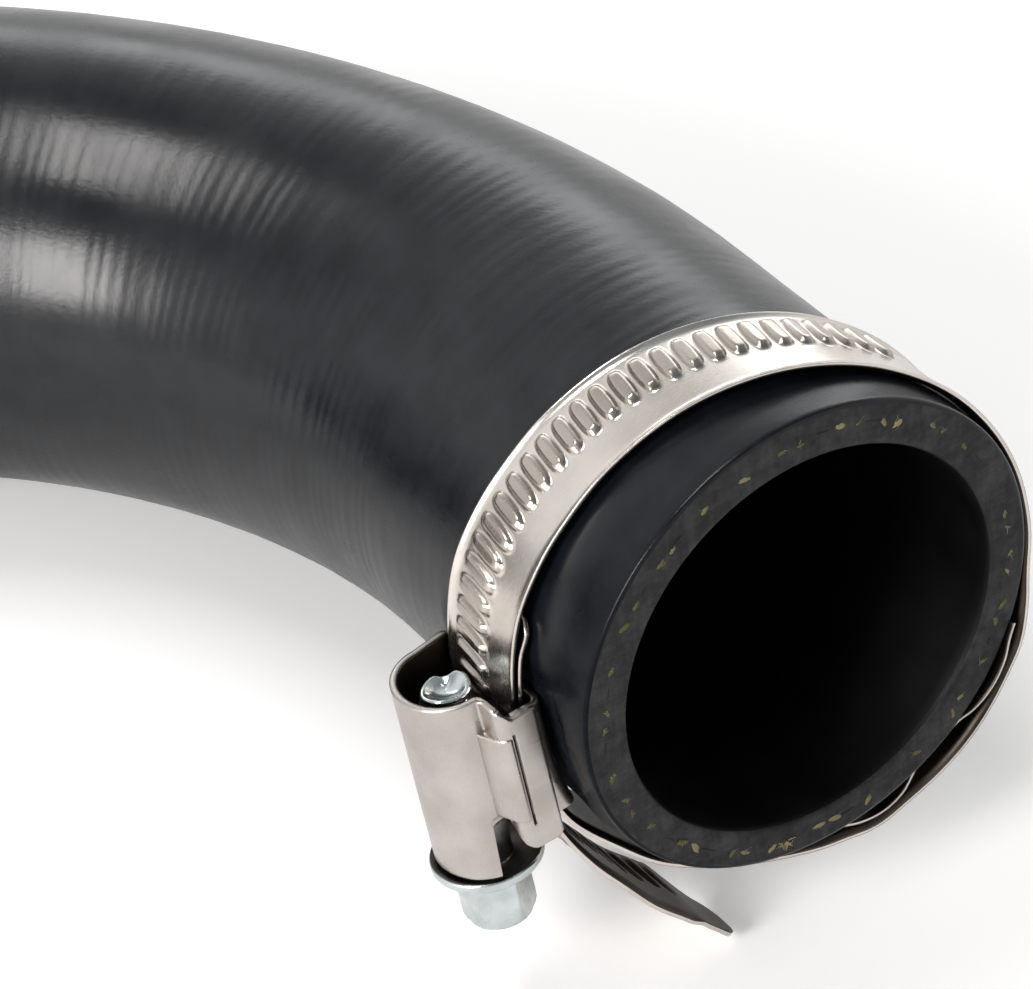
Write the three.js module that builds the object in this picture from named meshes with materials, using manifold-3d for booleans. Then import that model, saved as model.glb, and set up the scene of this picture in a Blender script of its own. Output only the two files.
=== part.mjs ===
// Charge air hose, cut square at its near end, with a worm-drive hose clamp behind the cut.
// Millimetres, +Z up. The hose is drawn from its cut end: its axis there is +Y, and it bends towards -X.
// The clamp's ring goes round the same axis, but leans: its left side and its top sit deeper.
// The housing and the screw share a frame of their own: +X towards the hose, +Z along the screw to its tail.
import * as THREE from 'three';
import Module from 'manifold-3d';

const wasm = await Module();
wasm.setup();

// Hose
const hoseRadius = 27;
const wallThickness = 4.5;
const endSwell = 0.7;
const swellLength = 9;
const firstLeg = 41.2;
const bendRadius = 93.9;
const bendAngle = THREE.MathUtils.degToRad(90);
const farLeg = 40;
const hoseSides = 44;

// Clamp's place on the hose, and how askew it sits
const clampDepth = 5.4;
const leanSideways = Math.tan(THREE.MathUtils.degToRad(10));
const leanUpwards = Math.tan(THREE.MathUtils.degToRad(3));
const clampGap = 0.3;

// Band, with edges rolled outwards and pressed ridges
const bandWidth = 12;
const bandThickness = 0.6;
const lipWidth = 0.9;
const lipHeight = 0.45;
const bandTaper = 0.35;
const ridgePitch = 2.4;
const ridgeCount = 44;
const ridgeHeight = 0.6;
const ridgeFront = 4.7;
const ridgeMargin = 1.2;
const ridgeRamp = 0.9;
const layerGap = 0.2;
const tailTongue = 7;
const tongueWidth = 6.2;

// Spring insert
const springThickness = 0.4;
const springOverhang = 0.4;

// Housing, one folded sheet
const sheet = 0.8;
const housingAngle = THREE.MathUtils.degToRad(10);
const saddlePress = 0.7;
const sideGap = 0.65;
const foldGap = 0.15;
const pressMargin = 3.5;
const saddleSag = 0.0125;
const sagStart = -2;
const tubeBore = 4.5;
const tubeStretch = 1.14;
const tubeTop = 4.2;
const tubeBottom = -18.4;
const saddleTop = 2;
const saddleBottom = -13.5;
const flangeTop = 2.3;
const flangeBottom = -14.4;
const flangeReach = 1.1;
const valleyReach = 1.9;
const notchTop = -12.3;
const hookRadius = 1.05;
const lugTop = 0.2;
const lugBottom = -10.6;

// Screw
const screwOffset = 0.8;
const threadRadius = 3.1;
const threadDepth = 0.7;
const threadGap = 0.4;
const threadTop = 1;
const tailRadius = 2.7;
const tailTop = 3;
const collarRadius = 6.1;
const collarThickness = 1.9;
const collarGap = 0.5;
const hexAcrossFlats = 7;
const hexHeight = 6.6;
const hexTurn = THREE.MathUtils.degToRad(6);

// How the part lies: the heading, from +Y towards +X, in which it leans down from the tail to the bend
const restHeading = THREE.MathUtils.degToRad(27);

// The stack of layers at the housing, measured outwards from the ring's centre
const seatRadius = hoseRadius + clampGap;
const saddleInner = seatRadius - saddlePress;
const fixedEndInner = saddleInner + sheet + clampGap;
const ridgedInner = fixedEndInner + bandThickness + layerGap;
const screwRadial = ridgedInner + bandThickness + ridgeHeight + threadGap + threadRadius;
const ridgeBack = bandWidth - ridgeMargin;
const screwAcross = bandWidth / 2 + screwOffset;

// Where the hose's centreline is after a length s, and which way it points
function hoseStation(s) {
  const bendLength = bendRadius * bendAngle;
  const turned = THREE.MathUtils.clamp(s - firstLeg, 0, bendLength) / bendRadius;
  const point = new THREE.Vector3(
    -bendRadius * (1 - Math.cos(turned)),
    Math.min(s, firstLeg) + bendRadius * Math.sin(turned),
    0,
  );
  const along = new THREE.Vector3(-Math.sin(turned), Math.cos(turned), 0);
  point.addScaledVector(along, Math.max(0, s - firstLeg - bendLength));
  const side = new THREE.Vector3(along.y, -along.x, 0);
  return { point, side };
}

// A closed body is stored as positions and an index. Its faces are turned outwards here.
function closedBody(points, index) {
  let volume = 0;
  for (let i = 0; i < index.length; i += 3) {
    const [a, b, c] = [points[index[i]], points[index[i + 1]], points[index[i + 2]]];
    volume += a.dot(b.clone().cross(c));
  }
  const faces = volume > 0 ? index : [...index].reverse();
  const geometry = new THREE.BufferGeometry();
  geometry.setAttribute('position', new THREE.Float32BufferAttribute(points.flatMap((p) => p.toArray()), 3));
  geometry.setIndex(faces);
  return geometry;
}

// A sheet of metal between two grids of points, closed along its four edges
function sheetBody(inner, outer) {
  const rows = inner.length;
  const columns = inner[0].length;
  const count = rows * columns;
  const points = [...inner.flat(), ...outer.flat()];
  const index = [];
  const quad = (a, b, c, d) => index.push(a, b, c, a, c, d);
  const at = (row, column) => row * columns + column;
  for (let row = 0; row < rows - 1; row += 1) {
    for (let column = 0; column < columns - 1; column += 1) {
      const corners = [at(row, column), at(row, column + 1), at(row + 1, column + 1), at(row + 1, column)];
      quad(...corners);
      quad(...corners.reverse().map((corner) => corner + count));
    }
  }
  const edges = [];
  for (let column = 0; column < columns - 1; column += 1) {
    edges.push([at(0, column + 1), at(0, column)], [at(rows - 1, column), at(rows - 1, column + 1)]);
  }
  for (let row = 0; row < rows - 1; row += 1) {
    edges.push([at(row, 0), at(row + 1, 0)], [at(row + 1, columns - 1), at(row, columns - 1)]);
  }
  for (const [from, to] of edges) quad(from, to, to + count, from + count);
  return closedBody(points, index);
}

function toSolid(geometry) {
  const vertProperties = new Float32Array(geometry.attributes.position.array);
  const triVerts = new Uint32Array(geometry.index.array);
  const mesh = new wasm.Mesh({ numProp: 3, vertProperties, triVerts });
  mesh.merge();
  return new wasm.Manifold(mesh);
}

function toGeometry(solid) {
  const mesh = solid.getMesh();
  const geometry = new THREE.BufferGeometry();
  geometry.setAttribute('position', new THREE.BufferAttribute(mesh.vertProperties, 3));
  geometry.setIndex(new THREE.BufferAttribute(mesh.triVerts, 1));
  return geometry;
}

// A three.js shape with shared corners, ready for a cut or a join
function plainSolid(geometry) {
  geometry.deleteAttribute('normal');
  geometry.deleteAttribute('uv');
  const bare = geometry.index ? geometry : geometry.setIndex([...Array(geometry.attributes.position.count).keys()]);
  return toSolid(bare);
}

// How much deeper the leaning ring sits at a place beside the hose's axis
function lean(x, z) {
  return leanUpwards * z - leanSideways * x;
}

// A point of the ring's plane, from its distance out and its place along the screw
function besideScrew(outwards, along) {
  return new THREE.Vector3(-outwards, 0, along).applyAxisAngle(new THREE.Vector3(0, 1, 0), -housingAngle);
}

// A point of the ring's plane, from its angle and its height above the seat
function onRing(degrees, standOff) {
  const angle = THREE.MathUtils.degToRad(degrees);
  const radius = seatRadius + standOff;
  return new THREE.Vector3(radius * Math.cos(angle), 0, radius * Math.sin(angle));
}

// The housing's frame follows the ring's lean where the band enters it
const housingSeat = besideScrew(seatRadius, 0);
const alongScrew = besideScrew(0, 1);
const housingTurn = Math.atan(lean(alongScrew.x, alongScrew.z));
const housingFrame = new THREE.Matrix4()
  .makeTranslation(0, clampDepth + lean(housingSeat.x, housingSeat.z), 0)
  .multiply(new THREE.Matrix4().makeRotationY(-housingAngle))
  .multiply(new THREE.Matrix4().makeRotationX(-housingTurn));
const toHousing = housingFrame.clone().invert();

// The saddle and the band on it follow the hose's round, so they fall away from the screw below their upper end
function sag(along) {
  return saddleSag * Math.max(0, sagStart - along) ** 2;
}

// The same for a place in the housing's frame, which is turned from the ring's plane
function housingSag(across, along) {
  return sag(along * Math.cos(housingTurn) - across * Math.sin(housingTurn));
}

// Rubber is pressed flat under the saddle and eases out around it
function pressedByClamp(point) {
  const local = point.clone().applyMatrix4(toHousing);
  const beside = Math.max(0, -pressMargin - local.y, local.y - bandWidth - pressMargin);
  const above = Math.max(0, saddleBottom - local.z, local.z - saddleTop - pressMargin);
  const limit = saddleInner - housingSag(local.y, local.z) - clampGap + 0.35 * Math.hypot(beside, above);
  if (-local.x > limit) local.x = -limit;
  return local.applyMatrix4(housingFrame);
}

function hoseGeometry() {
  const bendLength = bendRadius * bendAngle;
  const length = firstLeg + bendLength + farLeg;
  const nearSteps = 9;
  const nearLength = clampDepth + bandWidth + 12;
  const bendSteps = 14;
  const stations = [];
  for (let i = 0; i <= nearSteps; i += 1) stations.push((nearLength * i) / nearSteps);
  for (let i = 0; i <= bendSteps; i += 1) stations.push(firstLeg + (bendLength * i) / bendSteps);
  stations.push(length);
  const ring = (s, radius, shape) => {
    const { point, side } = hoseStation(s);
    return Array.from({ length: hoseSides }, (_, i) => {
      const angle = (2 * Math.PI * i) / hoseSides;
      const out = side.clone().multiplyScalar(radius * Math.cos(angle));
      out.z = radius * Math.sin(angle);
      return shape(out.add(point));
    });
  };
  const swell = (s) => endSwell * (1 - THREE.MathUtils.smoothstep(s, 0, swellLength));
  const outside = stations.map((s) => ring(s, hoseRadius + swell(s), s < firstLeg ? pressedByClamp : (p) => p));
  const boreStations = stations.filter((s) => s === 0 || s >= firstLeg);
  const inside = boreStations.map((s) => ring(s, hoseRadius - wallThickness, (p) => p));
  const rings = [...outside, ...inside.reverse()];
  const index = [];
  rings.forEach((_, row) => {
    const next = (row + 1) % rings.length;
    for (let i = 0; i < hoseSides; i += 1) {
      const j = (i + 1) % hoseSides;
      const [a, b, c, d] = [row * hoseSides + i, row * hoseSides + j, next * hoseSides + j, next * hoseSides + i];
      index.push(a, b, c, a, c, d);
    }
  });
  return closedBody(rings.flat(), index);
}

// The band's inner face, from the tip of its fixed end, down through the housing and once round the hose,
// then over its own fixed end, through the housing again and out as the tail
function bandPath() {
  const fixedEnd = (along) => besideScrew(fixedEndInner - sag(along), along);
  const ridgedEnd = (along) => besideScrew(ridgedInner - 0.7 * sag(along), along);
  const ring = [
    [234, 2.3], [246, 2.9], [262, 3.05], [278, 3.9], [285, 4.3], [291, 4.8], [299, 4.3], [307, 4.05], [315, 3.7],
    [323, 3.2], [332, 2.7], [337, 2.5], [345, 1.65], [354, 0.8], [365, 0.75], [380, 0.75], [395, 0.7], [410, 0.6],
    [430, 0.45], [450, 0.4], [470, 0.4], [490, 0.35], [506, 0.4], [516, 0.65], [526, 0.95], [536, 1],
  ];
  const points = [
    onRing(166, 0.05), onRing(176, 0.15),
    ...[1, -4, -9, -14.5].map(fixedEnd),
    ...ring.map(([degrees, standOff]) => onRing(degrees, standOff)),
    ...[1, -4, -9, -15.5].map(ridgedEnd),
    ...[[4.1, -21.4], [6.8, -25.8], [9.6, -30.1], [13.2, -34.1], [15.7, -37.5], [18.4, -40.9]].map(
      ([inwards, along]) => besideScrew(ridgedInner - inwards, along),
    ),
  ];
  const curve = new THREE.CatmullRomCurve3(points, false, 'centripetal');
  curve.arcLengthDivisions = 3000;
  return curve;
}

// A point of a strip that follows a path: s along it, then across, then out from its inner face
function stripPoint(curve, length, s, across, out) {
  const u = THREE.MathUtils.clamp(s / length, 0, 1);
  const tangent = curve.getTangentAt(u);
  const normal = new THREE.Vector3(tangent.z, 0, -tangent.x);
  const point = curve.getPointAt(u).addScaledVector(normal, out);
  point.y = clampDepth + lean(point.x, point.z) + across;
  return point;
}

function bandGeometry() {
  const curve = bandPath();
  const length = curve.getLength();
  const ridgedEnd = length - tailTongue;
  const ridgedStart = ridgedEnd - ridgeCount * ridgePitch;
  const stations = [0, 0.8, 2].map((s) => ({ s, ridge: 0 }));
  const plainSteps = Math.round((ridgedStart - 4) / 3.4);
  for (let i = 1; i <= plainSteps; i += 1) stations.push({ s: 2 + ((ridgedStart - 4) * i) / plainSteps, ridge: 0 });
  for (let i = 0; i < ridgeCount; i += 1) {
    const s = ridgedStart + i * ridgePitch;
    stations.push({ s, ridge: 0 }, { s: s + 0.35 * ridgePitch, ridge: 1 }, { s: s + 0.65 * ridgePitch, ridge: 1 });
  }
  for (const s of [0, 1.2, 4.2, 6, tailTongue]) stations.push({ s: ridgedEnd + s, ridge: 0 });
  const tip = tongueWidth / bandWidth;
  const widthAt = (s) => {
    if (s < 2) return [0.55, 0.85, 1][Math.round(s)];
    const past = s - ridgedEnd;
    if (past <= 0.1) return 1;
    return past < tailTongue - 2 ? tip : tip * Math.sqrt(Math.max(0.05, (tailTongue - past) / 2));
  };
  const columns = [
    [0, 1, 0], [lipWidth, 0, 0], [ridgeFront, 0, 0], [ridgeFront + ridgeRamp, 0, 1], [ridgeBack - ridgeRamp, 0, 1],
    [ridgeBack, 0, 0], [bandWidth - lipWidth, 0, 0], [bandWidth, 1, 0],
  ];
  const slant = ridgePitch / (2 * Math.PI * (threadRadius - threadDepth / 2));
  const grid = (out) => stations.map(({ s, ridge }) => columns.map(([across, lip, onRidge]) => {
    const width = widthAt(s);
    const middle = bandWidth / 2;
    const shear = s > ridgedStart - 2 && s < ridgedEnd + 0.1 ? -slant * (across - middle) : 0;
    const rise = lip * lipHeight * (width < 1 ? 0 : 1) + ridge * onRidge * ridgeHeight;
    const place = stripPoint(curve, length, s + shear, middle + (across - middle) * width, 0);
    const taper = bandTaper * (across / bandWidth) * THREE.MathUtils.smoothstep(place.z, 8, 20);
    return stripPoint(curve, length, s + shear, middle + (across - middle) * width, out + rise - taper);
  }));
  return sheetBody(grid(0), grid(bandThickness));
}

// The spring insert touches the hose at both ends and in its middle, and bows out twice between
function springGeometry() {
  const bows = [
    [258, 0.45], [268, 0.55], [275, 0.85], [282, 2], [288, 3.2], [293, 3.5], [298, 2.9], [303, 1.4], [307, 0.9],
    [312, 0.85], [317, 0.9], [321, 1.6], [327, 1.9], [333, 1.6], [338, 1], [342, 0.85],
  ];
  const points = bows.map(([degrees, standOff]) => onRing(degrees, standOff));
  const curve = new THREE.CatmullRomCurve3(points, false, 'centripetal');
  curve.arcLengthDivisions = 1000;
  const length = curve.getLength();
  const steps = 34;
  const grid = (out) => Array.from({ length: steps + 1 }, (_, i) => (
    [-springOverhang, bandWidth].map((across) => stripPoint(curve, length, (length * i) / steps, across, out))
  ));
  return sheetBody(grid(0), grid(springThickness));
}

// The housing's section, as the middle line of its sheet, in distance outwards and across
function housingSection() {
  const middle = sheet / 2;
  const foldLevel = -sideGap - middle;
  const flangeLevel = foldLevel - sheet - foldGap;
  const backLevel = bandWidth + sideGap + middle;
  const saddleLevel = saddleInner + middle;
  const tubeRadius = tubeBore + middle;
  const tubeDepth = tubeRadius * tubeStretch;
  const valley = screwRadial - valleyReach;
  const tubeFront = screwAcross - tubeDepth;
  const section = new THREE.Path();
  section.moveTo(saddleLevel + flangeReach, flangeLevel);
  section.lineTo(valley, flangeLevel);
  section.bezierCurveTo(valley + 1, flangeLevel, valley + 0.9, flangeLevel + 0.8, valley + 0.95, flangeLevel + 2.2);
  section.quadraticCurveTo(valley + 1, tubeFront, valley + 1.7, tubeFront);
  section.absellipse(screwRadial, screwAcross, tubeRadius, tubeDepth, -Math.PI / 2, Math.PI / 2, false, 0);
  section.lineTo(screwRadial - 3.6, backLevel);
  section.lineTo(saddleLevel + 1.8, backLevel);
  section.quadraticCurveTo(saddleLevel, backLevel, saddleLevel, backLevel - 1.8);
  section.lineTo(saddleLevel, bandWidth / 2);
  section.lineTo(saddleLevel, foldLevel + 1.2);
  section.quadraticCurveTo(saddleLevel, foldLevel, saddleLevel + 1.2, foldLevel);
  section.lineTo(valley - 0.9, foldLevel);
  return { line: section.getPoints(7), flangeLevel, valley };
}

// A ribbon of sheet along a section line, between its lower and upper ends
function ribbon(line, thickness, endsAt, sagAt) {
  const offset = (amount) => line.map((point, i) => {
    const before = line[Math.max(0, i - 1)];
    const after = line[Math.min(line.length - 1, i + 1)];
    const along = new THREE.Vector2().subVectors(after, before).normalize();
    return new THREE.Vector2(point.x - along.y * amount, point.y + along.x * amount);
  });
  const steps = 6;
  const grid = (amount) => offset(amount).map((point, i) => {
    const [bottom, top] = endsAt(line[i]);
    return Array.from({ length: steps + 1 }, (_, k) => {
      const along = bottom + ((top - bottom) * k) / steps;
      return new THREE.Vector3(sagAt(line[i]) * housingSag(point.y, along) - point.x, point.y, along);
    });
  });
  return sheetBody(grid(-thickness / 2), grid(thickness / 2));
}

function cutter(outwards, across, along) {
  const size = [outwards, across, along].map(([low, high]) => high - low);
  const centre = [outwards, across, along].map(([low, high]) => (low + high) / 2);
  const box = new THREE.BoxGeometry(...size).translate(-centre[0], centre[1], centre[2]);
  return plainSolid(box);
}

function housingGeometry() {
  const { line, flangeLevel, valley } = housingSection();
  const foldEnd = valley - 0.6;
  const isFlange = (point) => point.y < flangeLevel + 0.3;
  const sagAt = (point) => (isFlange(point) ? 0 : 1 - THREE.MathUtils.smoothstep(point.x, saddleInner + 1, foldEnd));
  const endsAt = (point) => {
    const tube = THREE.MathUtils.smoothstep(point.x, foldEnd, screwRadial - 0.5);
    const back = point.y < bandWidth / 2 ? 0 : THREE.MathUtils.smoothstep(point.x, saddleInner + 0.8, saddleInner + 2.5);
    const inner = isFlange(point) ? [flangeBottom, flangeTop] : [saddleBottom, saddleTop];
    return [
      THREE.MathUtils.lerp(inner[0], tubeBottom, tube),
      THREE.MathUtils.lerp(inner[1], tubeTop, Math.max(tube, back)),
    ];
  };
  const folded = toSolid(ribbon(line, sheet, endsAt, sagAt));
  const frontFace = flangeLevel - sheet;
  const wallReach = screwAcross - tubeBore * tubeStretch + 1;
  const notch = cutter([valley + 1.4, screwRadial + 1.2], [frontFace, wallReach], [tubeBottom - 1, notchTop - 0.5]);
  const foot = cutter([valley - 1, valley + 1.5], [frontFace, wallReach], [tubeBottom - 1, flangeBottom]);
  const hook = new THREE.CylinderGeometry(hookRadius, hookRadius, wallReach - frontFace, 16);
  hook.translate(-screwRadial - 0.5, (wallReach + frontFace) / 2, notchTop);
  const slotDepth = [frontFace, flangeLevel + sheet / 2 + 0.05];
  const sideSlot = cutter([valley - 0.45, valley - 0.1], slotDepth, [lugBottom - 0.7, lugTop + 0.3]);
  const endSlot = cutter([valley - 0.45, valley + 0.9], slotDepth, [lugBottom - 0.7, lugBottom]);
  const lug = [[0.05, 0.2], [0.35, -0.15], [1.1, 0.65], [2.2, 3.6]];
  const lugLine = lug.map(([outwards, across]) => new THREE.Vector2(valley + outwards, flangeLevel + across));
  const lugSolid = toSolid(ribbon(lugLine, sheet, () => [lugBottom, lugTop], () => 0));
  return toGeometry(
    folded.subtract(notch).subtract(foot).subtract(plainSolid(hook)).subtract(sideSlot).subtract(endSlot).add(lugSolid),
  );
}

// The worm thread, as one closed body whose radius follows the helix
function threadSolid(bottom, top) {
  const sides = 20;
  const stepsPerTurn = 6;
  const steps = Math.round(((top - bottom) / ridgePitch) * stepsPerTurn);
  const root = threadRadius - threadDepth;
  const points = [new THREE.Vector3(0, 0, bottom), new THREE.Vector3(0, 0, top)];
  const index = [];
  const at = (step, side) => 2 + step * sides + (side % sides);
  for (let step = 0; step <= steps; step += 1) {
    const along = bottom + ((top - bottom) * step) / steps;
    for (let side = 0; side < sides; side += 1) {
      const phase = along / ridgePitch - side / sides;
      const wave = 0.5 + 0.5 * Math.cos(2 * Math.PI * phase);
      const radius = root + threadDepth * THREE.MathUtils.smoothstep(wave, 0.15, 0.75);
      const angle = (2 * Math.PI * side) / sides;
      points.push(new THREE.Vector3(radius * Math.cos(angle), radius * Math.sin(angle), along));
    }
  }
  for (let side = 0; side < sides; side += 1) {
    index.push(0, at(0, side + 1), at(0, side), 1, at(steps, side), at(steps, side + 1));
    for (let step = 0; step < steps; step += 1) {
      const [a, b] = [at(step, side), at(step, side + 1)];
      const [c, d] = [at(step + 1, side + 1), at(step + 1, side)];
      index.push(a, b, c, a, c, d);
    }
  }
  return toSolid(closedBody(points, index));
}

function screwGeometry() {
  const collarTop = tubeBottom - collarGap;
  const collarBottom = collarTop - collarThickness;
  const hexBottom = collarBottom - hexHeight;
  const threadBottom = notchTop - 1.5;
  const shank = threadRadius - 0.3;
  const neck = tailRadius - 0.5;
  const profile = [
    [0, hexBottom], [2.9, hexBottom], [2.9, collarBottom], [4.4, collarBottom], [5.3, collarBottom + 0.6],
    [collarRadius, collarBottom + 1], [collarRadius, collarTop - 0.15], [collarRadius - 0.15, collarTop],
    [5.35, collarTop], [4.9, collarTop - 0.5], [shank, collarTop - 0.5], [shank, threadBottom],
    [neck, threadBottom + 0.5], [neck, tailTop - 0.9], [tailRadius, tailTop - 0.6], [tailRadius, tailTop - 0.25],
    [tailRadius - 0.4, tailTop], [1.2, tailTop - 0.25], [0, tailTop - 0.3],
  ].map(([radius, along]) => new THREE.Vector2(radius, along));
  const body = plainSolid(new THREE.LatheGeometry(profile, 28).rotateX(Math.PI / 2));
  const cornerRadius = hexAcrossFlats / Math.sqrt(3);
  const hexLength = hexHeight + 0.4;
  const hexagon = new THREE.CylinderGeometry(cornerRadius, cornerRadius, hexLength, 6);
  hexagon.rotateY(hexTurn).rotateX(Math.PI / 2).translate(0, 0, hexBottom + hexLength / 2);
  const turned = [
    [0, hexBottom], [3.1, hexBottom], [3.8, hexBottom + 0.5], [4.2, hexBottom + 1.4], [4.2, hexBottom + hexLength],
    [0, hexBottom + hexLength],
  ].map(([radius, along]) => new THREE.Vector2(radius, along));
  const envelope = plainSolid(new THREE.LatheGeometry(turned, 28).rotateX(Math.PI / 2));
  const head = plainSolid(hexagon).intersect(envelope);
  const thread = threadSolid(threadBottom, threadTop);
  return toGeometry(body.add(head).add(thread));
}

// Materials
const rubber = new THREE.MeshStandardMaterial({ color: 0x17191c, roughness: 0.55, metalness: 0 });
const stainless = new THREE.MeshStandardMaterial({ color: 0xb9b2aa, roughness: 0.35, metalness: 1 });
const springSteel = new THREE.MeshStandardMaterial({ color: 0xc3beb6, roughness: 0.3, metalness: 1 });
const zincPlate = new THREE.MeshStandardMaterial({ color: 0xbcc8ca, roughness: 0.25, metalness: 1 });

function piece(name, geometry, material) {
  const mesh = new THREE.Mesh(geometry, material);
  mesh.name = name;
  return mesh;
}

// The part rests on the underside of its bend and on the tip of the band's tail, which points down past the hose.
// The floor's normal leans from +Z away from the rest heading, by the angle at which both touch.
function restTurn(tail) {
  const heading = new THREE.Vector3(Math.sin(restHeading), Math.cos(restHeading), 0);
  const bendCentre = new THREE.Vector3(-bendRadius, firstLeg, 0);
  const reach = heading.dot(bendCentre) + bendRadius - heading.dot(tail);
  const tilt = Math.acos(hoseRadius / Math.hypot(tail.z, reach)) - Math.atan2(reach, -tail.z);
  const axis = new THREE.Vector3(heading.y, -heading.x, 0);
  return new THREE.Matrix4().makeRotationAxis(axis, -tilt);
}

// The point of a piece that is lowest once it is turned
function lowestPoint(mesh, turn) {
  const { position } = mesh.geometry.attributes;
  const points = Array.from({ length: position.count }, (_, i) => new THREE.Vector3().fromBufferAttribute(position, i));
  const height = (point) => point.clone().applyMatrix4(turn).z;
  return points.reduce((low, point) => (height(point) < height(low) ? point : low));
}

// Assembly, in the frame of the hose's cut end
const housing = new THREE.Group();
housing.applyMatrix4(housingFrame);
housing.add(piece('clamp_housing', housingGeometry(), stainless));
const screw = piece('clamp_screw', screwGeometry(), zincPlate);
screw.position.set(-screwRadial, screwAcross, 0);
housing.add(screw);

const band = piece('clamp_band', bandGeometry(), stainless);
const assembly = new THREE.Group();
assembly.add(piece('hose', hoseGeometry(), rubber));
assembly.add(band);
assembly.add(piece('spring_insert', springGeometry(), springSteel));
assembly.add(housing);

// At rest, with the origin in the middle of the floor area that the part covers
let turn = new THREE.Matrix4();
for (let pass = 0; pass < 3; pass += 1) turn = restTurn(lowestPoint(band, turn));
assembly.applyMatrix4(turn);
assembly.updateMatrixWorld(true);
const covered = new THREE.Box3().setFromObject(assembly, true);
const middle = covered.getCenter(new THREE.Vector3());
assembly.position.sub(new THREE.Vector3(middle.x, middle.y, covered.min.z));

const group = new THREE.Group();
group.add(assembly);

export default group;
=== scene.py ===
# %% [markdown]
# A charge air hose carries hot compressed air from a turbocharger to its cooler. This one is a moulded rubber
# pipe with a right-angle bend, and a worm-drive clamp sits close behind its cut end. The CAD model is the
# fixed frame of this lesson: every piece made here takes the place of a plain CAD solid, in the same metres.

# %% Load the frame
import math

import bpy
import numpy as np
from mathutils import Matrix


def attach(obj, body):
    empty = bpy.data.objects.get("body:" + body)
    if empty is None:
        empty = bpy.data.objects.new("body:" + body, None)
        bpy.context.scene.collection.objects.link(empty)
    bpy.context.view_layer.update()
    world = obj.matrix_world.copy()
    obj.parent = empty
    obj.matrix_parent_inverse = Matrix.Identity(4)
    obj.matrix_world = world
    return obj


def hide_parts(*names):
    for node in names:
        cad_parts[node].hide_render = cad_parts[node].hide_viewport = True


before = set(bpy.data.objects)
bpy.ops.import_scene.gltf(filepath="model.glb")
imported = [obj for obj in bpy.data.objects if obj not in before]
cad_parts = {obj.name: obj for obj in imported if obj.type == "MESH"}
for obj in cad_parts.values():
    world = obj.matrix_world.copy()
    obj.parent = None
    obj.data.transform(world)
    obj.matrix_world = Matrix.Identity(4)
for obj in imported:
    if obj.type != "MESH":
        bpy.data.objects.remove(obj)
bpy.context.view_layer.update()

# %% [markdown]
# The shapes are easiest to describe from the hose's cut end: its axis there is +Y, it bends towards -X, and
# lengths are millimetres. At rest the part leans on its bend and on the tip of the clamp's tail, so one fixed
# turn and one shift carry every point from that frame to the floor's frame.

# %% Sizes of the hose, and how it lies
HOSE_RADIUS = 27.0
BORE_RADIUS = 22.5
END_SWELL = 0.7
SWELL_LENGTH = 9.0
FIRST_LEG = 41.2
BEND_RADIUS = 93.9
FAR_LEG = 40.0
BEND_LENGTH = BEND_RADIUS * math.pi / 2
HOSE_LENGTH = FIRST_LEG + BEND_LENGTH + FAR_LEG

REST_HEADING = math.radians(27.0)
REST_TILT = math.radians(10.608444)
REST_SHIFT = np.array([53.790701, -78.320877, 43.196741])


def turn_about(axis, angle):
    """Rodrigues' formula: the matrix that turns a vector about a unit axis by an angle."""
    x, y, z = axis
    cross = np.array([[0, -z, y], [z, 0, -x], [-y, x, 0]])
    return np.eye(3) + math.sin(angle) * cross + (1 - math.cos(angle)) * cross @ cross


REST_TURN = turn_about((math.cos(REST_HEADING), -math.sin(REST_HEADING), 0.0), -REST_TILT)


def to_floor(points):
    """Hose frame in millimetres to floor frame in metres: turn, then shift, then divide by a thousand."""
    return (points @ REST_TURN.T + REST_SHIFT) / 1000.0


print("turned by", round(math.degrees(REST_TILT), 2), "degrees")

# %% [markdown]
# Nearly every piece here is a surface on a grid of two parameters. One helper turns such grids into a mesh.
# A sheet of metal is two grids, its inner and outer face, joined along their four edges, so it is closed like
# the real strip. Building it with Solidify would be shorter, but rolled lips and pressed ridges need two faces
# that are worked out by themselves.

# %% From grids to meshes
def grid_quads(rows, columns, start=0, wrap=False, flip=False):
    """Index quads of a grid: each cell joins (r, c), (r, c + 1), (r + 1, c + 1), (r + 1, c)."""
    last = columns if wrap else columns - 1
    r, c = np.meshgrid(np.arange(rows - 1), np.arange(last), indexing="ij")
    d = (c + 1) % columns
    quads = np.stack([r * columns + c, r * columns + d, (r + 1) * columns + d, (r + 1) * columns + c], -1)
    quads = quads.reshape(-1, 4) + start
    return quads[:, ::-1] if flip else quads


def link_object(name, data):
    obj = bpy.data.objects.new(name, data)
    bpy.context.scene.collection.objects.link(obj)
    return obj


def stand_at(obj, side, up, back, place):
    """Stands a lamp or a camera somewhere: the directions of its own X, Y and Z, then its place."""
    columns = np.eye(4)
    columns[:3] = np.stack([side, up, back, place], -1)
    obj.matrix_world = Matrix(columns.tolist())


def make_piece(name, points, quads, uv=None):
    """A mesh object at the origin, from points in the hose frame, with its faces turned outwards."""
    mesh = bpy.data.meshes.new(name)
    placed = to_floor(points)
    mesh.from_pydata(placed.tolist(), [], np.asarray(quads).tolist())
    corners = np.concatenate([quads[:, [0, 1, 2]], quads[:, [0, 2, 3]]])
    a, b, c = (placed[corners[:, k]] for k in range(3))
    if np.einsum("ij,ij->i", a, np.cross(b, c)).sum() < 0:
        mesh.flip_normals()
    if uv is not None:
        layer = mesh.uv_layers.new(name="strip")
        owner = np.empty(len(mesh.loops), dtype=np.int32)
        mesh.loops.foreach_get("vertex_index", owner)
        layer.data.foreach_set("uv", uv[owner].astype(np.float32).ravel())
    mesh.shade_smooth()
    print(name, len(points), "points,", len(corners), "triangles")
    return link_object(name, mesh)


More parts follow.
